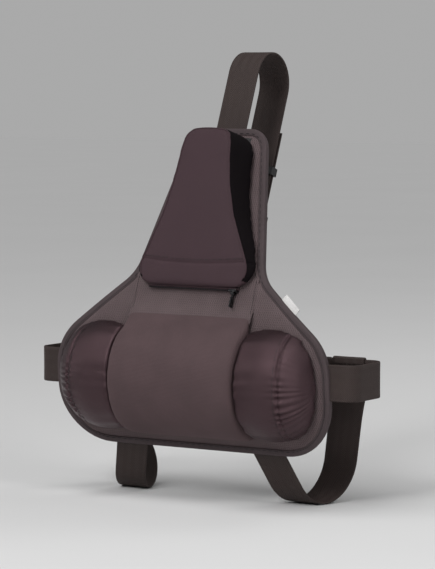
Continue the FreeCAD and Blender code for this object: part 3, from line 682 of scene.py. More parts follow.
def cloth(name, colour, weave, pitch, depth, roughness, sheen, contrast=0.35, wear=0.12, gloss=0.22):
    """A woven or knitted cloth."""
    graph = Graph(name)
    height = pattern_height(graph, weave, pitch)
    broad = graph.noise(35 * MM)
    fibre = graph.noise(0.9 * MM, 2.0)
    base = graph.mixed(graph.span(broad, 0.3, 0.7), toned(colour, 1 - wear), toned(colour, 1 + wear))
    threads = graph.mixed(height, toned(colour, 1 - contrast), base)
    lint = graph.span(fibre, 0.55, 0.8, 0.0, 0.28)
    final = graph.mixed(lint, threads, toned(colour, 1.7))
    graph.bump(graph.plus(height, fibre, 0.35), depth)
    rough = graph.span(broad, 0.2, 0.8, roughness - 0.05, roughness + 0.05)
    tint = (*toned(colour, 2.5), 1)
    return graph.finish(final, rough, Sheen_Weight=sheen, Sheen_Roughness=0.4, Sheen_Tint=tint,
                        Specular_IOR_Level=gloss)


def moulded(name, colour, roughness):
    """Fine-grained moulded plastic, a little worn."""
    graph = Graph(name)
    grain = graph.noise(0.35 * MM, 2.0)
    scuffs = graph.noise(6 * MM, 5.0, (1, 1, 4))
    tone = graph.mixed(graph.span(scuffs, 0.45, 0.75), colour, toned(colour, 1.6))
    graph.bump(grain, 0.05 * MM, 0.6)
    rough = graph.span(scuffs, 0.3, 0.7, roughness - 0.06, roughness + 0.1)
    return graph.finish(tone, rough, Specular_IOR_Level=0.45)


def satin(name, colour):
    """Tightly woven cloth with a soft lengthwise sheen."""
    graph = Graph(name)
    height = pattern_height(graph, "satin", 0.7 * MM)
    broad = graph.noise(30 * MM)
    base = graph.mixed(graph.span(broad, 0.3, 0.7), toned(colour, 0.85), toned(colour, 1.12))
    final = graph.mixed(height, toned(colour, 0.75), base)
    graph.bump(graph.plus(height, graph.noise(0.9 * MM, 2.0), 0.35), 0.09 * MM)
    rough = graph.span(broad, 0.2, 0.8, 0.33, 0.40)
    return graph.finish(final, rough, Metallic=0.9, Sheen_Weight=0.06, Sheen_Roughness=0.4,
                        Sheen_Tint=(*toned(colour, 2.5), 1), Specular_IOR_Level=0.3)


def painted(name, colour):
    """Dark lacquered metal with brighter rubbed spots."""
    graph = Graph(name)
    rub = graph.span(graph.noise(1.6 * MM, 4.0), 0.55, 0.72)
    tone = graph.mixed(rub, colour, (0.16, 0.155, 0.15))
    graph.bump(graph.noise(0.4 * MM, 2.0), 0.03 * MM, 0.5)
    return graph.finish(tone, graph.span(rub, 0, 1, 0.32, 0.5), Metallic=0.75)


def open_cell(name, colour):
    """Cut foam with small open cells."""
    graph = Graph(name)
    place = graph.node("ShaderNodeTexCoord").outputs["Object"]
    cells = graph.node("ShaderNodeTexVoronoi")
    cells.inputs["Scale"].default_value = 1 / (1.1 * MM)
    graph.tree.links.new(place, cells.inputs["Vector"])
    depth = cells.outputs["Distance"]
    tone = graph.mixed(graph.span(depth, 0.1, 0.6), toned(colour, 0.75), colour)
    graph.bump(depth, 0.4 * MM)
    return graph.finish(tone, 0.95)


def tufted(name, colour, size, depth):
    """Hook or loop tape: a dense nap of small tufts."""
    graph = Graph(name)
    nap = graph.noise(size, 4.0)
    tone = graph.mixed(graph.span(nap, 0.35, 0.65), toned(colour, 0.6), toned(colour, 1.5))
    graph.bump(nap, depth)
    return graph.finish(tone, 0.95, Sheen_Weight=0.3)


SLEEVE_COLOUR = (0.100, 0.066, 0.070)
PANEL_COLOUR = (0.140, 0.104, 0.108)
SATIN_COLOUR = (0.104, 0.065, 0.073)
PAD_COLOUR = (0.068, 0.039, 0.047)
GUSSET_COLOUR = (0.007, 0.005, 0.006)
BINDING_COLOUR = (0.088, 0.066, 0.070)
WEBBING_COLOUR = (0.056, 0.040, 0.037)

M = {
    "sleeve": cloth("sleeve_mesh", SLEEVE_COLOUR, "mesh", 1.5 * MM, 0.35 * MM, 0.85, 0.25),
    "panel": cloth("panel_mesh", PANEL_COLOUR, "mesh", 2.4 * MM, 0.7 * MM, 0.9, 0.2, 0.5),
    "lining": cloth("lining", (0.03, 0.027, 0.029), "mesh", 1.8 * MM, 0.3 * MM, 0.85, 0.1),
    "satin": satin("satin_cloth", SATIN_COLOUR),
    "pad": cloth("pad_cloth", PAD_COLOUR, "satin", 0.9 * MM, 0.14 * MM, 0.62, 0.35, 0.22),
    "gusset": cloth("gusset_cloth", GUSSET_COLOUR, "mesh", 1.3 * MM, 0.3 * MM, 0.8, 0.03, gloss=0.06),
    "binding": cloth("binding_tape", BINDING_COLOUR, "rib", 1.1 * MM, 0.22 * MM, 0.7, 0.2),
    "webbing": cloth("webbing", WEBBING_COLOUR, "herringbone", 2.2 * MM, 0.3 * MM, 0.6, 0.25, 0.45),
    "label": cloth("label_cloth", (0.72, 0.71, 0.70), "satin",
                   0.5 * MM, 0.06 * MM, 0.5, 0.1, 0.08, 0.03),
    "thread": cloth("thread", (0.035, 0.029, 0.031), "rib", 0.5 * MM, 0.1 * MM, 0.55, 0.2),
    "plastic": moulded("fitting_plastic", (0.018, 0.018, 0.019), 0.38),
    "nylon": moulded("zip_nylon", (0.022, 0.020, 0.022), 0.35),
    "metal": painted("zip_metal", (0.02, 0.02, 0.022)),
    "foam": open_cell("foam", (0.62, 0.58, 0.47)),
    "loop": tufted("loop_cloth", (0.022, 0.020, 0.021), 0.7 * MM, 0.5 * MM),
    "hook": tufted("hook_tape", (0.014, 0.014, 0.015), 0.45 * MM, 0.4 * MM),
}


# ---- panel -----------------------------------------------------------------------------------------

def panel():
    """The board, its padded front crowned between the bound edges."""
    t = np.linspace(0, 1, PANEL_ROWS)
    spread = (1 - np.cos(math.pi * t)) / 2
    z = PANEL_BOTTOM + (PANEL_TOP - PANEL_BOTTOM) * (0.6 * spread + 0.4 * t)
    z = np.clip(z, PANEL_BOTTOM + 0.05 * MM, PANEL_TOP - 0.05 * MM)
    share = np.linspace(-1, 1, PANEL_COLUMNS)
    half = panel_half_width(z)[:, None]
    x = share[None] * half
    z = np.broadcast_to(z[:, None], x.shape)
    edge = np.minimum(np.minimum((1 - np.abs(share))[None] * half, z - PANEL_BOTTOM), PANEL_TOP - z)
    s = height_run(z)
    puff = PUFF * smooth((edge - BINDING_WIDTH) / (9 * MM))
    front = seat(s, PANEL_THICK - 0.1 * MM + puff, x)
    rear = seat(s, 0.1 * MM - 0.25 * puff, x)
    obj = slab("panel", front, rear, (x, s), [M["panel"], M["lining"]])
    for polygon in obj.data.polygons:
        polygon.material_index = int(min(polygon.vertices) >= x.size)
    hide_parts("back_panel")


def edge_loop(inset=0.0):
    """The panel's whole edge moved inward, as x and z."""
    left = (HALF_OUTLINE * [-1, 1])[::-1]
    whole = np.vstack([HALF_OUTLINE, left[1:-1]])
    whole = resampled(whole, int(way_along(whole)[-1] / BINDING_STEP), closed=True)
    along = tangents(whole, closed=True)
    return whole - np.stack([along[:, 1], -along[:, 0]], -1) * inset


def face_frame(points):
    """Places of the panel's middle plane, and the seat's outward direction there."""
    s = height_run(points[:, 1])
    low, high = seat(s, 0, points[:, 0]), seat(s, 10 * MM, points[:, 0])
    return low, (high - low) / (10 * MM)


def binding():
    """Folded tape round the edge, drawn in slightly by its stitching."""
    base, up = face_frame(edge_loop())
    wall, width, deep = BINDING_WALL * 0.95, BINDING_WIDTH, PANEL_THICK
    t = np.linspace(-math.pi / 2, math.pi / 2, 9)
    bend = np.stack([wall * np.cos(t), deep / 2 + (deep / 2 + wall) * np.sin(t)], -1)
    front = np.array([[-width * 0.35, deep + wall * 1.15], [-width * 0.7, deep + wall * 0.7],
                      [-width * 0.93, deep + wall * 1.0], [-width, deep + wall * 0.3]])
    inner = np.array([[-width * 0.95, deep * 0.8], [-width * 0.95, deep * 0.2]])
    rear = np.array([[-width, -wall * 0.3], [-width * 0.93, -wall], [-width * 0.7, -wall * 0.7],
                     [-width * 0.35, -wall * 1.1]])
    section = np.vstack([bend, front, inner, rear])
    pucker = 1 + 0.10 * np.sin(np.arange(len(base)) * 2.1)
    sections = np.repeat(section[None], len(base), 0)
    sections[:, 9:13, 1] = deep + (sections[:, 9:13, 1] - deep) * pucker[:, None]
    verts, faces = sweep(base, up, sections, closed=True)
    round_it = way_along(np.vstack([section[-1:], section]))[1:]
    uvs = strip_uvs(round_it, np.arange(len(base)) * BINDING_STEP)
    obj = add_mesh("binding", verts, faces, "harness", uvs, [M["binding"]])
    outward(obj)
    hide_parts("panel_binding")
    runs = []
    for w, sign in ((PANEL_THICK + 0.85 * BINDING_WALL, 1), (-0.85 * BINDING_WALL, -1)):
        base, up = face_frame(edge_loop(BINDING_WIDTH * 0.66))
        runs.append((base + up * w, up * sign))
    thread("binding_stitches", runs, "harness", "binding_tape", closed=True)


def label():
    """Blank folded tab sewn into the shoulder's binding."""
    foot, head = np.array([PANEL_HALF, SHOULDER]), np.array(NECK)
    run = (head - foot) / np.linalg.norm(head - foot)
    out = np.array([run[1], -run[0]])
    a = np.linspace(0, LABEL_LENGTH, 25)[:, None]
    b = np.linspace(0.6 * MM, LABEL_WIDTH, 9)[None]
    flat = (foot + head) / 2 + run * a[..., None] + out * b[..., None]
    sag = 0.35 * MM * np.sin(a / LABEL_LENGTH * math.pi)
    curl = PANEL_THICK / 2 + sag + 0.5 * MM * (b / LABEL_WIDTH) ** 2 * np.cos(a / LABEL_LENGTH * 4)
    s = height_run(flat[..., 1])
    top = seat(s, curl + LABEL_THICK / 2, flat[..., 0])
    under = seat(s, curl - LABEL_THICK / 2, flat[..., 0])
    obj = slab("label", top, under, (a, b), [M["label"]])
    soft_edge(obj, 0.2 * MM)
    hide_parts("side_label")


# ---- lumbar roll ---------------------------------------------------------------------------------

def roll_ring(x, shrink, inset, count=64):
    """The roll's D-shaped section at x, its ellipse scaled by shrink, moved in by inset."""
    t = np.linspace(0, 2 * math.pi, 4 * count, endpoint=False)
    y = ROLL_MID_Y - (ROLL_SEMI_Y - inset) * shrink * np.cos(t)
    z = ROLL_MID_Z + (ROLL_SEMI_Z - inset) * shrink * np.sin(t)
    line = np.stack([np.full_like(t, x), y, z], -1)
    s, w = seat_place(line)
    line = seat(s, np.maximum(w, PANEL_THICK + PUFF + inset * 0.5), x)
    return resampled(line, count, closed=True)


def roll_angle(points):
    """How far round the roll places are, 0 at its front."""
    return np.arctan2(points[:, 2] - ROLL_MID_Z, ROLL_MID_Y - points[:, 1])


def roll_uvs(obj):
    """Weave coordinates along the roll and round it."""
    co = coordinates(obj.data)
    index = corner_verts(obj.data)
    turn = roll_angle(co)[index]
    totals = [p.loop_total for p in obj.data.polygons]
    starts = np.repeat([p.loop_start for p in obj.data.polygons], totals)
    turn = turn - 2 * math.pi * np.round((turn - turn[starts]) / (2 * math.pi))
    set_uvs(obj.data, np.stack([co[index, 0], turn * 60 * MM], -1))


def held_behind(points):
    """1 where the roll lies on the panel, which it can't leave."""
    return 1 - smooth((seat_place(points)[1] - PANEL_THICK - 2 * MM) / (16 * MM))


def kept_off_panel(obj, low_x, high_x):
    """Stops a cushion from sinking into the panel or through its end planes."""
    co = coordinates(obj.data)
    s, w = seat_place(co)
    w = np.maximum(w, PANEL_THICK + 0.5 * PUFF)
    move_to(obj.data, seat(s, w, np.clip(co[:, 0], low_x, high_x)))


def foam_core(name, cover, node, body):
    """The foam inside a cover: the cover's own shape, drawn in."""
    mesh = cover.data.copy()
    mesh.name = name
    obj = linked(name, mesh)
    co = coordinates(mesh)
    middle = (co.min(0) + co.max(0)) / 2
    move_to(mesh, middle + (co - middle) * CORE_SHARE)
    mesh.materials.clear()
    mesh.materials.append(M["foam"])
    for polygon in mesh.polygons:
        polygon.material_index = 0
    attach(obj, body)
    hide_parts(node)


def centre_cushion():
    """Middle of the roll in its mesh sleeve, full in the middle and drawn in at both seams."""
    rings = []
    for x in np.linspace(-CENTRE_HALF, CENTRE_HALF, 33):
        end = smooth((abs(x) / CENTRE_HALF - 0.90) / 0.10)
        ring = roll_ring(x, 1.0, SLEEVE_INSET + SLEEVE_DRAWN * end)
        near = smooth((SKIRT_DEPTH - seat_place(ring)[1]) / SKIRT_DEPTH)
        high = smooth((ring[:, 2] - ROLL_MID_Z - 25 * MM) / (20 * MM))
        ring[:, 2] += SKIRT * near * high
        rings.append(ring)
    obj = closed_cover("centre_sleeve_cover", rings, M["sleeve"])

    def pinned(points):
        ends = smooth((np.abs(points[:, 0]) - CENTRE_HALF + 4 * MM) / (3 * MM))
        return np.maximum(ends, held_behind(points))

    stuffed(obj, COARSE_GRID, CENTRE_SWELL, pinned)
    kept_off_panel(obj, -CENTRE_HALF, CENTRE_HALF)
    co, out = coordinates(obj.data), normals(obj.data)
    swell = 0.35 * MM * wobble(co, 60 * MM, 3)
    top = smooth((co[:, 2] - ROLL_MID_Z - 40 * MM) / (20 * MM))
    creases = 0.5 * MM * top * np.sin(co[:, 0] / (11 * MM) + 2 * np.sin(co[:, 0] / (31 * MM)))
    front = smooth((seat_place(co)[1] - PANEL_THICK - 4 * MM) / (6 * MM))
    move_to(obj.data, co + out * (front * (swell + creases))[:, None])
    roll_uvs(obj)
    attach(obj, "harness")
    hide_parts("centre_sleeve")
    foam_core("centre_foam_core", obj, "centre_foam", "harness")


def flap():
    """The sleeve's flap, from the roll's top up behind the pad."""
    rows, columns = 60, 60
    foot = float(height_run(np.array(ROLL_MID_Z + FLAP_FOOT)))
    head = float(height_run(np.array(FLAP_TOP)))
    s = np.linspace(foot, head, rows)[:, None]
    clear_of_edge = panel_half_width(seat(s, 0, 0)[..., 2]) - BINDING_WIDTH - 0.5 * MM
    half = np.minimum(CENTRE_HALF - 1 * MM, clear_of_edge)
    share = np.linspace(-1, 1, columns)[None]
    x = share * half
    rise = 1 - smooth((s - foot) / FLAP_SETTLE)
    ease = 0.35 * MM * np.sin(x / (13 * MM) + s / (17 * MM)) * smooth((1 - np.abs(share)) * 8)
    lift = PANEL_THICK + PUFF + 0.3 * MM + FLAP_LIFT * rise + ease * (0.3 + rise)
    under_pad = PANEL_THICK + LAYER + 0.2 * MM
    lift = np.minimum(lift, np.where(s > ARC_END - 12 * MM, under_pad, 1.0))
    top, under = seat(s, lift, x), seat(s, lift - FLAP_THICK, x)
    obj = slab("centre_sleeve_flap", top, under, (x, s), [M["panel"]])
    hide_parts("centre_sleeve")
    up = (top - under) / FLAP_THICK
    runs = [(top[8:, column], up[8:, column]) for column in (1, columns - 2)]
    thread("flap_stitches", runs, "harness", "sleeve_mesh")


def cap_bow(z):
    """How far the end cap's seam bows outward at height z."""
    return CAP_BOW * np.cos((z - ROLL_MID_Z) / ROLL_SEMI_Z * math.pi / 2)


def wing(side):
    """A side cushion in satin cloth, with a gathered end cap."""
    name = "right" if side > 0 else "left"
    length = WING_END - WING_IN
    rings = []
    dome = 0.5 + 0.5 * np.sin(np.linspace(0.1, 1, 22) * math.pi / 2)
    for t in np.concatenate([np.linspace(0, 0.5, 14), dome]):
        shrink = (1 - max(0.0, (t - 0.10) / 0.90) ** 3.2) ** (1 / 2.4)
        inset = WING_INSET + WING_DRAWN * (1 - smooth(t / 0.40))
        rings.append(roll_ring(side * (WING_IN + length * t), max(shrink, 0.10), inset))
    obj = closed_cover(f"{name}_wing", rings, M["satin"])

    def seam_gap(points):
        return side * points[:, 0] - CAP_SEAM - cap_bow(points[:, 2])

    def pinned(points):
        inner = 1 - smooth((side * points[:, 0] - WING_IN - 1 * MM) / (16 * MM))
        seam = 0.8 * (1 - smooth(np.abs(seam_gap(points)) / (3.5 * MM)))
        return np.maximum(np.maximum(inner, seam), held_behind(points))

    stuffed(obj, FINE_GRID, WING_SWELL, pinned)
    subdivided(obj)
    reach = WING_END + WING_PROUD
    ends = (WING_IN, reach) if side > 0 else (-reach, -WING_IN)
    kept_off_panel(obj, *ends)
    co, out = coordinates(obj.data), normals(obj.data)
    gap, angle = seam_gap(co), roll_angle(co)
    low_front = np.exp(-((angle + 0.45) / 0.55) ** 2)
    beat = angle * 40 + 1.3 * np.sin(angle * 9)
    near_seam = np.where(gap > 0, np.exp(-gap / (11 * MM)), np.exp(gap / (4 * MM)))
    gathers = near_seam * (0.12 + 0.88 * low_front) * CAP_GATHER * np.cos(beat)
    groove = -CAP_GROOVE * np.exp(-(gap / (1.7 * MM)) ** 2)
    folds = 0.45 * MM * wobble(co * [0.5, 1, 1], 34 * MM, 11 if side > 0 else 12)
    pull = np.exp(-(side * co[:, 0] - WING_IN) / (16 * MM))
    strain = 0.5 * MM * pull * np.sin(angle * 17 + 2 * np.sin(angle * 5))
    front = smooth((seat_place(co)[1] - PANEL_THICK - 5 * MM) / (7 * MM))
    move_to(obj.data, co + out * (front * (gathers + groove + folds + strain))[:, None])
    kept_off_panel(obj, *ends)
    roll_uvs(obj)
    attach(obj, "harness")
    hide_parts(f"{name}_wing_cover")
    foam_core(f"{name}_wing_foam_core", obj, f"{name}_wing_foam", "harness")
    turn = np.linspace(-2.15, 2.0, 160)
    y, z = ROLL_MID_Y - ROLL_SEMI_Y * np.cos(turn), ROLL_MID_Z + ROLL_SEMI_Z * np.sin(turn)
    seam = np.stack([side * (CAP_SEAM - 2.4 * MM + cap_bow(z)), y, z], -1)
    runs = [laid_on(surface_of(obj), seam, STITCH_LIFT)]
    thread(f"{name}_cap_stitches", runs, "harness", "satin_cloth", radius=0.3 * MM)


# ---- mid-back pad ----------------------------------------------------------------------------------

def end_round(v, radius_foot, radius_head):
    """How far the pad's outline comes in near its foot and head."""
    def part(gap, radius):
        t = np.clip(1 - gap / radius, 0, 1)
        return radius * (1 - np.sqrt(1 - t * t))
    return part(v - PAD_FOOT, radius_foot) + part(PAD_HEAD - v, radius_head)


def pad_widths(v):
    """Half widths at the pad's back and front, and the front's depth, at v."""
    base = np.interp(v, PAD_ROWS_V, PAD_BASE) - end_round(v, PAD_FOOT_ROUND[0], PAD_HEAD_ROUND[0])
    front = np.interp(v, PAD_ROWS_V, PAD_FRONT) - end_round(v, PAD_FOOT_ROUND[1], PAD_HEAD_ROUND[1])
    return base, front, np.interp(v, PAD_ROWS_V, PAD_DEPTH)


def seam_gap_up(x, v):
    """How far above the seam across the pad's front a place is; the seam sags in its middle."""
    return v - PAD_SEAM + SEAM_SAG * np.clip(1 - (x / (66 * MM)) ** 2, 0, 1)


def pad():
    """Wedge-shaped cushion: smooth front, dark side gusset, and a band turned under its foot."""
    rings = []
    for share in (1 - np.cos(np.linspace(0.04, math.pi - 0.04, 50))) / 2:
        v = PAD_FOOT + (PAD_HEAD - PAD_FOOT) * share
        base, front, deep = pad_widths(v)
        deep -= PAD_SLACK + end_round(v, 3 * MM, 9 * MM)
        rear = PAD_REAR + 0.6 * MM
        corners = [(0, rear), (base - 0.5 * MM, rear), (front - 1.0 * MM, deep - 0.8 * MM), (0, deep)]
        corners += [(-x, w) for x, w in corners[-2:0:-1]] + [(0, rear)]
        line = round_path(corners, [2.5 * MM, 5 * MM, 60 * MM, 5 * MM, 2.5 * MM])
        line = resampled(line[:-1], 72, closed=True)
        lip = PAD_LIP * smooth((line[:, 1] - 12.5 * MM) / (4 * MM)) * smooth((8 * MM - v) / (14 * MM))
        rings.append(pad_point(line[:, 0], v - lip, line[:, 1]))
    obj = closed_cover("pad", rings, M["pad"], M["gusset"])

    def edge_gap(points):
        """How far points lie outside the seam between front and gusset."""
        x, v, w = pad_place(points)
        _, front, deep = pad_widths(np.clip(v, PAD_FOOT, PAD_HEAD))
        side = np.hypot(np.abs(x) - (front - 2 * MM), w - (deep - 4.5 * MM))
        head = np.hypot(v - (PAD_HEAD - 3 * MM), w - (deep - 9 * MM))
        return np.minimum(side, np.where(np.abs(x) < front, head, 1.0))

    def pinned(points):
        x, v, w = pad_place(points)
        behind = 1 - smooth((w - PAD_REAR - 2 * MM) / (4 * MM))
        seam = 0.85 * (1 - smooth(edge_gap(points) / (4 * MM)))
        band = 0.7 * (1 - smooth(np.abs(seam_gap_up(x, v)) / (3 * MM))) * (w > 16 * MM)
        return np.maximum(np.maximum(behind, seam), band)

    stuffed(obj, COARSE_GRID, PAD_SWELL, pinned)
    subdivided(obj)
    co, out = coordinates(obj.data), normals(obj.data)
    x, v, w = pad_place(co)
    facing = smooth((out @ OUT - 0.15) / 0.4)
    off = seam_gap_up(x, v)
    groove = -1.1 * MM * np.exp(-(off / (1.4 * MM)) ** 2) * facing
    soft = 0.35 * MM * wobble(co, 45 * MM, 21) * smooth((w - PAD_REAR - 3 * MM) / (8 * MM))
    ripple = np.sin(x / (5.5 * MM) + np.sin(x / (19 * MM)))
    drag = 0.35 * MM * np.exp(-np.abs(off) / (9 * MM)) * ripple * facing
    x, v, w = pad_place(co + out * (groove + soft + drag)[:, None])
    lowest = PAD_FOOT - np.where(w < 14 * MM, 0.2 * MM, 1.3 * PAD_LIP)
    v = np.clip(v, lowest, PAD_HEAD + PAD_HEAD_PROUD)
    move_to(obj.data, pad_point(x, v, np.maximum(w, PAD_REAR)))
    box_uvs(obj)
    gusset_faces(obj)
    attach(obj, "pad")
    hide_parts("pad_cover")
    foam_core("pad_foam_core", obj, "pad_foam", "pad")
    pad_seams(obj)


def gusset_faces(obj):
    """Gives the pad's sides and head their dark cloth."""
    x, v, w = pad_place(triples(obj.data.polygons, "center"))
    outness = triples(obj.data.polygons, "normal") @ OUT
    _, front, deep = pad_widths(np.clip(v, PAD_FOOT, PAD_HEAD))
    gusset = (np.abs(x) > front - 2.4 * MM) | (w < deep - 11 * MM) & (outness < 0.35)
    gusset &= v > PAD_FOOT + 7 * MM
    obj.data.polygons.foreach_set("material_index", gusset.astype(np.int32))


def box_uvs(obj):
    """Weave coordinates for the pad: across and up on its front, back and up on its sides."""
    x, v, w = pad_place(coordinates(obj.data))
    facing = triples(obj.data.polygons, "normal")
    totals = [p.loop_total for p in obj.data.polygons]
    kind = np.argmax(np.abs(np.stack([facing[:, 0], facing @ ALONG, facing @ OUT], -1)), axis=1)
    kind = np.repeat(kind, totals)
    index = corner_verts(obj.data)
    u = np.where(kind == 0, w[index], x[index])
    up = np.where(kind == 1, w[index], v[index])
    set_uvs(obj.data, np.stack([u, up], -1))


def pad_seams(obj):
    """Corded seam round the front, and the stitched seam across it."""
    tree = surface_of(obj)
    v_arch = PAD_HEAD - 12 * MM
    v = np.linspace(PAD_FOOT + 10 * MM, v_arch, 70)
    _, front, deep = pad_widths(v)
    right = pad_point(front - 1.5 * MM, v, deep - 2.5 * MM)
    left = pad_point(1.5 * MM - front, v, deep - 2.5 * MM)[::-1]
    t = np.linspace(0, math.pi, 40)[1:-1]
    rise = np.sin(t) ** 0.5
    arch = pad_point((front[-1] - 1.5 * MM) * np.cos(t), v_arch + 9.5 * MM * rise,
                     deep[-1] - 2.5 * MM - 3 * MM * rise)
    path = resampled(np.vstack([right, arch, left]), 200)
    line, up = laid_on(tree, path, 0.25 * MM)
    section = circle(PIPING, 8, 0.9)
    verts, faces = sweep(line, up, section)
    uvs = strip_uvs(np.arange(8) * 0.7 * MM, np.arange(len(line)) * 2 * MM)
    cord = add_mesh("pad_piping", verts, faces, "pad", uvs, [M["pad"]])
    half = np.interp(PAD_SEAM, PAD_ROWS_V, PAD_FRONT) - 4 * MM
    x = np.linspace(-half, half, 60)
    depth = np.interp(PAD_SEAM, PAD_ROWS_V, PAD_DEPTH)
    v = PAD_SEAM + 2.6 * MM - seam_gap_up(x, PAD_SEAM)
    runs = [laid_on(tree, pad_point(x, v, depth + 2 * MM), STITCH_LIFT)]
    thread("pad_stitches", runs, "pad", "pad_cloth", radius=0.3 * MM)


def zipper():
    """Coil teeth in two meshing rows on woven tape."""
    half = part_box("zip_chain")[1][0]
    middle = (PAD_REAR + 13 * MM) / 2
    tape_low = PAD_FOOT - 0.8 * MM
    turn_v = tape_low - np.array([0.7, 1.3, 1.2, 0.6]) * MM
    turn_w = np.array([1.9, 1.0, -0.2, -0.9]) * MM
    parts = []
    for i in range(int(2 * half / ZIP_PITCH)):
        x = -half + (i + 0.5) * ZIP_PITCH
        row = -1 if i % 2 else 1
        line = pad_point(x, turn_v, middle + row * turn_w)
        parts.append(sweep(line, np.tile(RIGHT, (4, 1)), circle(0.42 * MM, 8)))
    verts, faces = merged(parts)
    teeth = add_mesh("zip_teeth", verts, faces, "pad", materials=[M["nylon"]])
    x = np.linspace(-half, half, 57)
    w = np.array([-2.5, -0.6, 0, 0.6, 2.5, 2.5, -2.5]) * MM + middle
    v = tape_low + np.array([0.0, -0.15, -0.5, -0.15, 0.0, 0.75, 0.75]) * MM
    verts, faces = loft([pad_point(place, v, w) for place in x])
    uvs = strip_uvs(np.arange(len(w)) * 0.9 * MM, x)
    tape = add_mesh("zip_tape", verts, faces, "pad", uvs, [M["pad"]], smooth_faces=False)
    outward(tape)
    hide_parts("zip_chain")


# ---- webbing ---------------------------------------------------------------------------------------

def web_section(width):
    """Strap section with rounded selvedges a little thicker than its middle."""
    x = np.array([-0.5, -0.485, -0.45, -0.25, 0, 0.25, 0.45, 0.485, 0.5]) * width
    lift = np.array([0.2, 0.46, 0.52, 0.47, 0.46, 0.47, 0.52, 0.46, 0.2]) * STRAP_THICK
    return np.vstack([np.stack([x, lift], -1), np.stack([x[::-1], -lift[::-1]], -1)])


def webbing(name, path, up, width=STRAP_WIDTH, level=False):
    """A strap along a line, and the CAD strap that it stands for."""
    section = web_section(width)
    verts, faces = sweep(path, up, section, level=level)
    uvs = strip_uvs(section[:, 0], way_along(path))
    obj = add_mesh(f"{name}_web", verts, faces, "harness", uvs, [M["webbing"]])
    outward(obj)
    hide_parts(name)
    return obj


def strap_line(points, radii, place, beside):
    """A strap's line, drawn in the two dimensions that place takes, and its outward directions."""
    flat = round_path(points, radii, STRAP_STEP)
    path = place(flat[:, 0], flat[:, 1])
    return path, np.cross(tangents(path), beside)


def run_line(points, radii):
    """A strap's line drawn in v and w of the upper run, and its outward directions."""
    return strap_line(points, radii, lambda v, w: pad_point(0.0, v, w), RIGHT)


def side_straps():
    """Both halves of the belt round the seat back."""
    start = PANEL_HALF - SEWN_IN
    corner = SIDE_BEND + STRAP_THICK / 2
    back = SIDE_REAR + 2 * WRAP
    socket_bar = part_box("buckle_socket")[1][0] - BAR_HALF
    plug_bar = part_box("buckle_plug")[0][0] + BAR_HALF
    halves = ((1, "right", socket_bar, socket_bar + SOCKET_TAIL),
              (-1, "left", plug_bar, -SIDE_TAIL_END))
    for side, name, bar, end in halves:
        turn = bar - side * WRAP
        points = [(side * start, SIDE_FRONT), (side * SIDE_X, SIDE_FRONT), (side * SIDE_X, SIDE_REAR),
                  (turn, SIDE_REAR), (turn, back), (end, back)]
        path, up = strap_line(points, [corner, corner, TIGHT, TIGHT],
                              lambda x, y: np.stack(np.broadcast_arrays(x, y, SIDE_Z), -1), UP)
        webbing(f"{name}_side_strap", path, up)


def top_strap():
    """Over the seat back's top and down to the ladder lock, with its tail back up."""
    front, rear = PANEL_THICK / 2, -SIDE_REAR
    head = (front - rear) / 2
    start = float(height_run(np.array(PANEL_TOP))) - ARC_END - SEWN_IN
    low, tail = LOCK_BAR - WRAP, rear - 2 * WRAP
    points = [(start, front), (TOP_CREST + head, front), (TOP_CREST + head, rear), (low, rear),
              (low, tail), (LOCK_BAR + TOP_TAIL, tail)]
    webbing("top_strap", *run_line(points, [head * 0.995, head * 0.995, TIGHT, TIGHT]))


def loop_band(x, layers):
    """A sewn loop round the side strap at x: its line and outward directions."""
    deep = STRAP_THICK + (2 * WRAP if layers == 2 else 0)
    y0 = REAR_IN + STRAP_THICK / 2
    y1 = SIDE_REAR + deep + CLEAR
    half = STRAP_WIDTH / 2 + CLEAR + STRAP_THICK / 2
    low, high = SIDE_Z - half, SIDE_Z + half
    points = [(y0, high - 6 * MM), (y0, low), (y1, low), (y1, high), (y0, high), (y0, high - 8 * MM)]
    return strap_line(points, [1.6 * MM] * 4,
                      lambda y, z: np.stack(np.broadcast_arrays(x, y, z), -1), -RIGHT)


def anchor_strap():
    """From its loop round the belt up to the ladder lock."""
    rear = REAR_IN + STRAP_THICK / 2
    foot = math.asin((SIDE_Z + STRAP_WIDTH / 2 + CLEAR) / (RADIUS - REAR_IN))
    rise = seat(np.linspace(foot, LEAN, 16) * RADIUS, -rear, 0.0)
    head, tail = ANCHOR_TOP + WRAP, -rear - 2 * WRAP
    points = [(1 * MM, -rear), (head, -rear), (head, tail), (ANCHOR_TAIL, tail)]
    upper, _ = run_line(points, [TIGHT, TIGHT])
    path = np.vstack([rise, upper[1:]])
    webbing("anchor_strap", path, np.cross(tangents(path), RIGHT))
    loop = webbing("anchor_strap", *loop_band(0.0, 2))
    loop.name = "anchor_strap_loop"


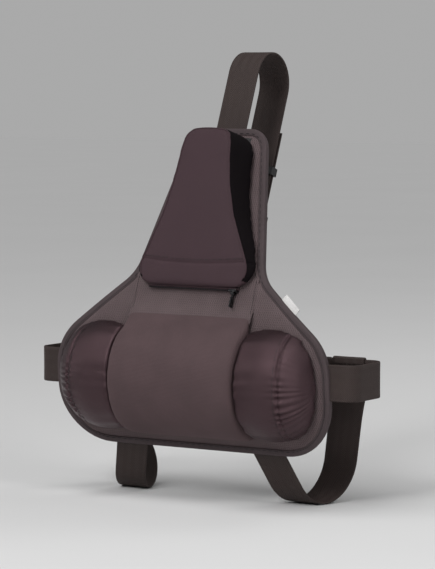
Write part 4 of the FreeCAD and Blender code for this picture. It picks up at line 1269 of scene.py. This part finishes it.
def lower_straps():
    """Both straps under the seat back, splayed, each ending in a loop round the belt."""
    start = -float(height_run(np.array(PANEL_BOTTOM))) - SEWN_IN
    turn = ARC_END + LOWER_TURN
    front_w, rear = PANEL_THICK / 2, REAR_IN + STRAP_THICK / 2
    radius = (front_w + rear) / 2
    front = seat(-np.linspace(start, turn, 24), front_w, 0.0)
    hub = seat(-turn, front_w - radius, 0.0)
    angle = np.linspace(0, math.pi, 26)[1:, None]
    ahead, down = OUT * [1, 1, -1], ALONG * [1, 1, -1]
    under = hub + radius * (np.cos(angle) * ahead + np.sin(angle) * down)
    finish = math.asin((STRAP_WIDTH / 2 + CLEAR - SIDE_Z) / (RADIUS - REAR_IN))
    rise = seat(-ARC_END - np.linspace(LOWER_TURN, 0, 12)[1:], -rear, 0.0)
    bend = seat(-np.linspace(LEAN, finish, 8)[1:] * RADIUS, -rear, 0.0)
    path = np.vstack([front, under, rise, bend])
    way = way_along(path)
    out = np.cross(tangents(path), -RIGHT)
    x = LOOPS_X - math.tan(SPLAY) * (way[-1] - way)
    for side, name in ((1, "right"), (-1, "left")):
        placed = path + (side * x)[:, None] * RIGHT
        webbing(f"{name}_lower_strap", placed, out, STRAP_WIDTH / math.cos(SPLAY), level=True)
        loop = webbing(f"{name}_lower_strap", *loop_band(side * LOOPS_X, 1))
        loop.name = f"{name}_lower_strap_loop"


def box_stitch(name, centre, across, along, width, length):
    """A box with a cross sewn through two layers of webbing, seen from behind."""
    corners = [centre + across * a * width / 2 + along * b * length / 2
               for a, b in ((-1, -1), (1, -1), (1, 1), (-1, 1))]
    pairs = ((0, 1), (1, 2), (2, 3), (3, 0), (0, 2), (1, 3))
    runs = [(np.linspace(corners[a], corners[b], 20), np.tile(BACK, (20, 1))) for a, b in pairs]
    thread(name, runs, "harness", "webbing")


def strap_stitching():
    """Sewn joints of the webbing behind the seat."""
    single = SIDE_REAR + STRAP_THICK * 1.5 + CLEAR
    wide = STRAP_WIDTH * 0.78
    anchor = np.array([0, single + 2 * WRAP, SIDE_Z])
    box_stitch("anchor_box_stitch", anchor, RIGHT, UP, wide, wide)
    for side, name in ((1, "right"), (-1, "left")):
        loop = np.array([side * LOOPS_X, single, SIDE_Z])
        box_stitch(f"{name}_loop_box_stitch", loop, RIGHT, UP, wide, wide)
    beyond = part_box("buckle_socket")[1][0] + 9 * MM
    socket = np.array([beyond, SIDE_REAR + 2 * WRAP + STRAP_THICK / 2, SIDE_Z])
    box_stitch("socket_box_stitch", socket, UP, RIGHT, wide, 12 * MM)


# ---- fittings kept from the CAD ------------------------------------------------------------------

def carried(node, material, width, segments=2):
    """A CAD node with softened edges and its own material."""
    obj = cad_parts[node]
    for slot in obj.material_slots:
        slot.material = material
    soft_edge(obj, width, segments).harden_normals = True


def fittings():
    """Buckle, locks, keepers, zip slider and hook and loop tapes."""
    for node in ("buckle_socket", "buckle_plug", "latch_arm_upper", "latch_arm_lower", "ladder_lock",
                 "top_keeper", "side_keeper"):
        carried(node, M["plastic"], 0.45 * MM)
    for node in ("zip_slider", "zip_pull"):
        carried(node, M["metal"], 0.25 * MM)
    carried("loop_field", M["loop"], 0.2 * MM, 1)
    for node in ("pad_hook_left", "pad_hook_right"):
        carried(node, M["hook"], 0.2 * MM, 1)


# ---- stage -----------------------------------------------------------------------------------------

EYE = Vector((1.575, -2.403, 0.300))
TARGET = Vector((0.004, 0.045, 0.082))
LENS = 172.0
MIDDLE = Vector((0, 0.03, 0.08))
WORLD = 0.15
BACKDROP = 0.40


def aimed(obj, direction):
    """Turns obj to face along a direction."""
    obj.rotation_euler = Vector(direction).to_track_quat("-Z", "Y").to_euler()


def camera():
    """In front and to the right, a little above the roll."""
    data = bpy.data.cameras.new("camera")
    data.lens = LENS
    obj = linked("camera", data)
    obj.location = EYE
    aimed(obj, TARGET - EYE)
    bpy.context.scene.camera = obj


def lamp(name, kind, direction, power, place=(0, 0, 0), **values):
    """A light that shines along a direction."""
    data = bpy.data.lights.new(name, kind)
    data.energy = power
    for key, value in values.items():
        setattr(data, key, value)
    obj = linked(name, data)
    obj.location = place
    aimed(obj, direction)


def studio():
    """Pale floor and soft lights."""
    bpy.ops.mesh.primitive_plane_add(size=30, location=(0, 0, CAD_BOX[0][2] - 1 * MM))
    floor = bpy.context.object
    floor.name = "floor"
    graph = Graph("floor_paper")
    tone = graph.mixed(graph.noise(0.4), (0.70, 0.70, 0.70), (0.73, 0.73, 0.73))
    floor.data.materials.append(graph.finish(tone, 0.95, Specular_IOR_Level=0.0))
    world = bpy.data.worlds.new("studio")
    bpy.context.scene.world = world
    world.use_nodes = True
    tree = world.node_tree
    rays = tree.nodes.new("ShaderNodeLightPath")
    choice = tree.nodes.new("ShaderNodeMixShader")
    tree.links.new(rays.outputs["Is Camera Ray"], choice.inputs[0])
    light, seen = tree.nodes["Background"], tree.nodes.new("ShaderNodeBackground")
    for index, (node, strength) in enumerate(((light, WORLD), (seen, BACKDROP))):
        node.inputs[0].default_value = (1, 1, 1, 1)
        node.inputs[1].default_value = strength
        tree.links.new(node.outputs[0], choice.inputs[index + 1])
    tree.links.new(choice.outputs[0], tree.nodes["World Output"].inputs[0])
    lamp("ceiling", "SUN", (0.35, 0.75, -1.5), 1.45, angle=math.radians(50))
    for name, place, size, power in (("front", (0.2, -2.15, 1.5), 0.7, 23),
                                     ("side", (2.2, -0.7, 1.45), 0.7, 16),
                                     ("rim", (0.9, 1.8, 1.7), 1.2, 8)):
        lamp(name, "AREA", MIDDLE - Vector(place), power, place, shape="DISK", size=size)
    bpy.context.scene.view_settings.view_transform = "Standard"


panel()
binding()
label()
centre_cushion()
flap()
wing(1)
wing(-1)
pad()
zipper()
side_straps()
top_strap()
anchor_strap()
lower_straps()
strap_stitching()
fittings()
camera()
studio()
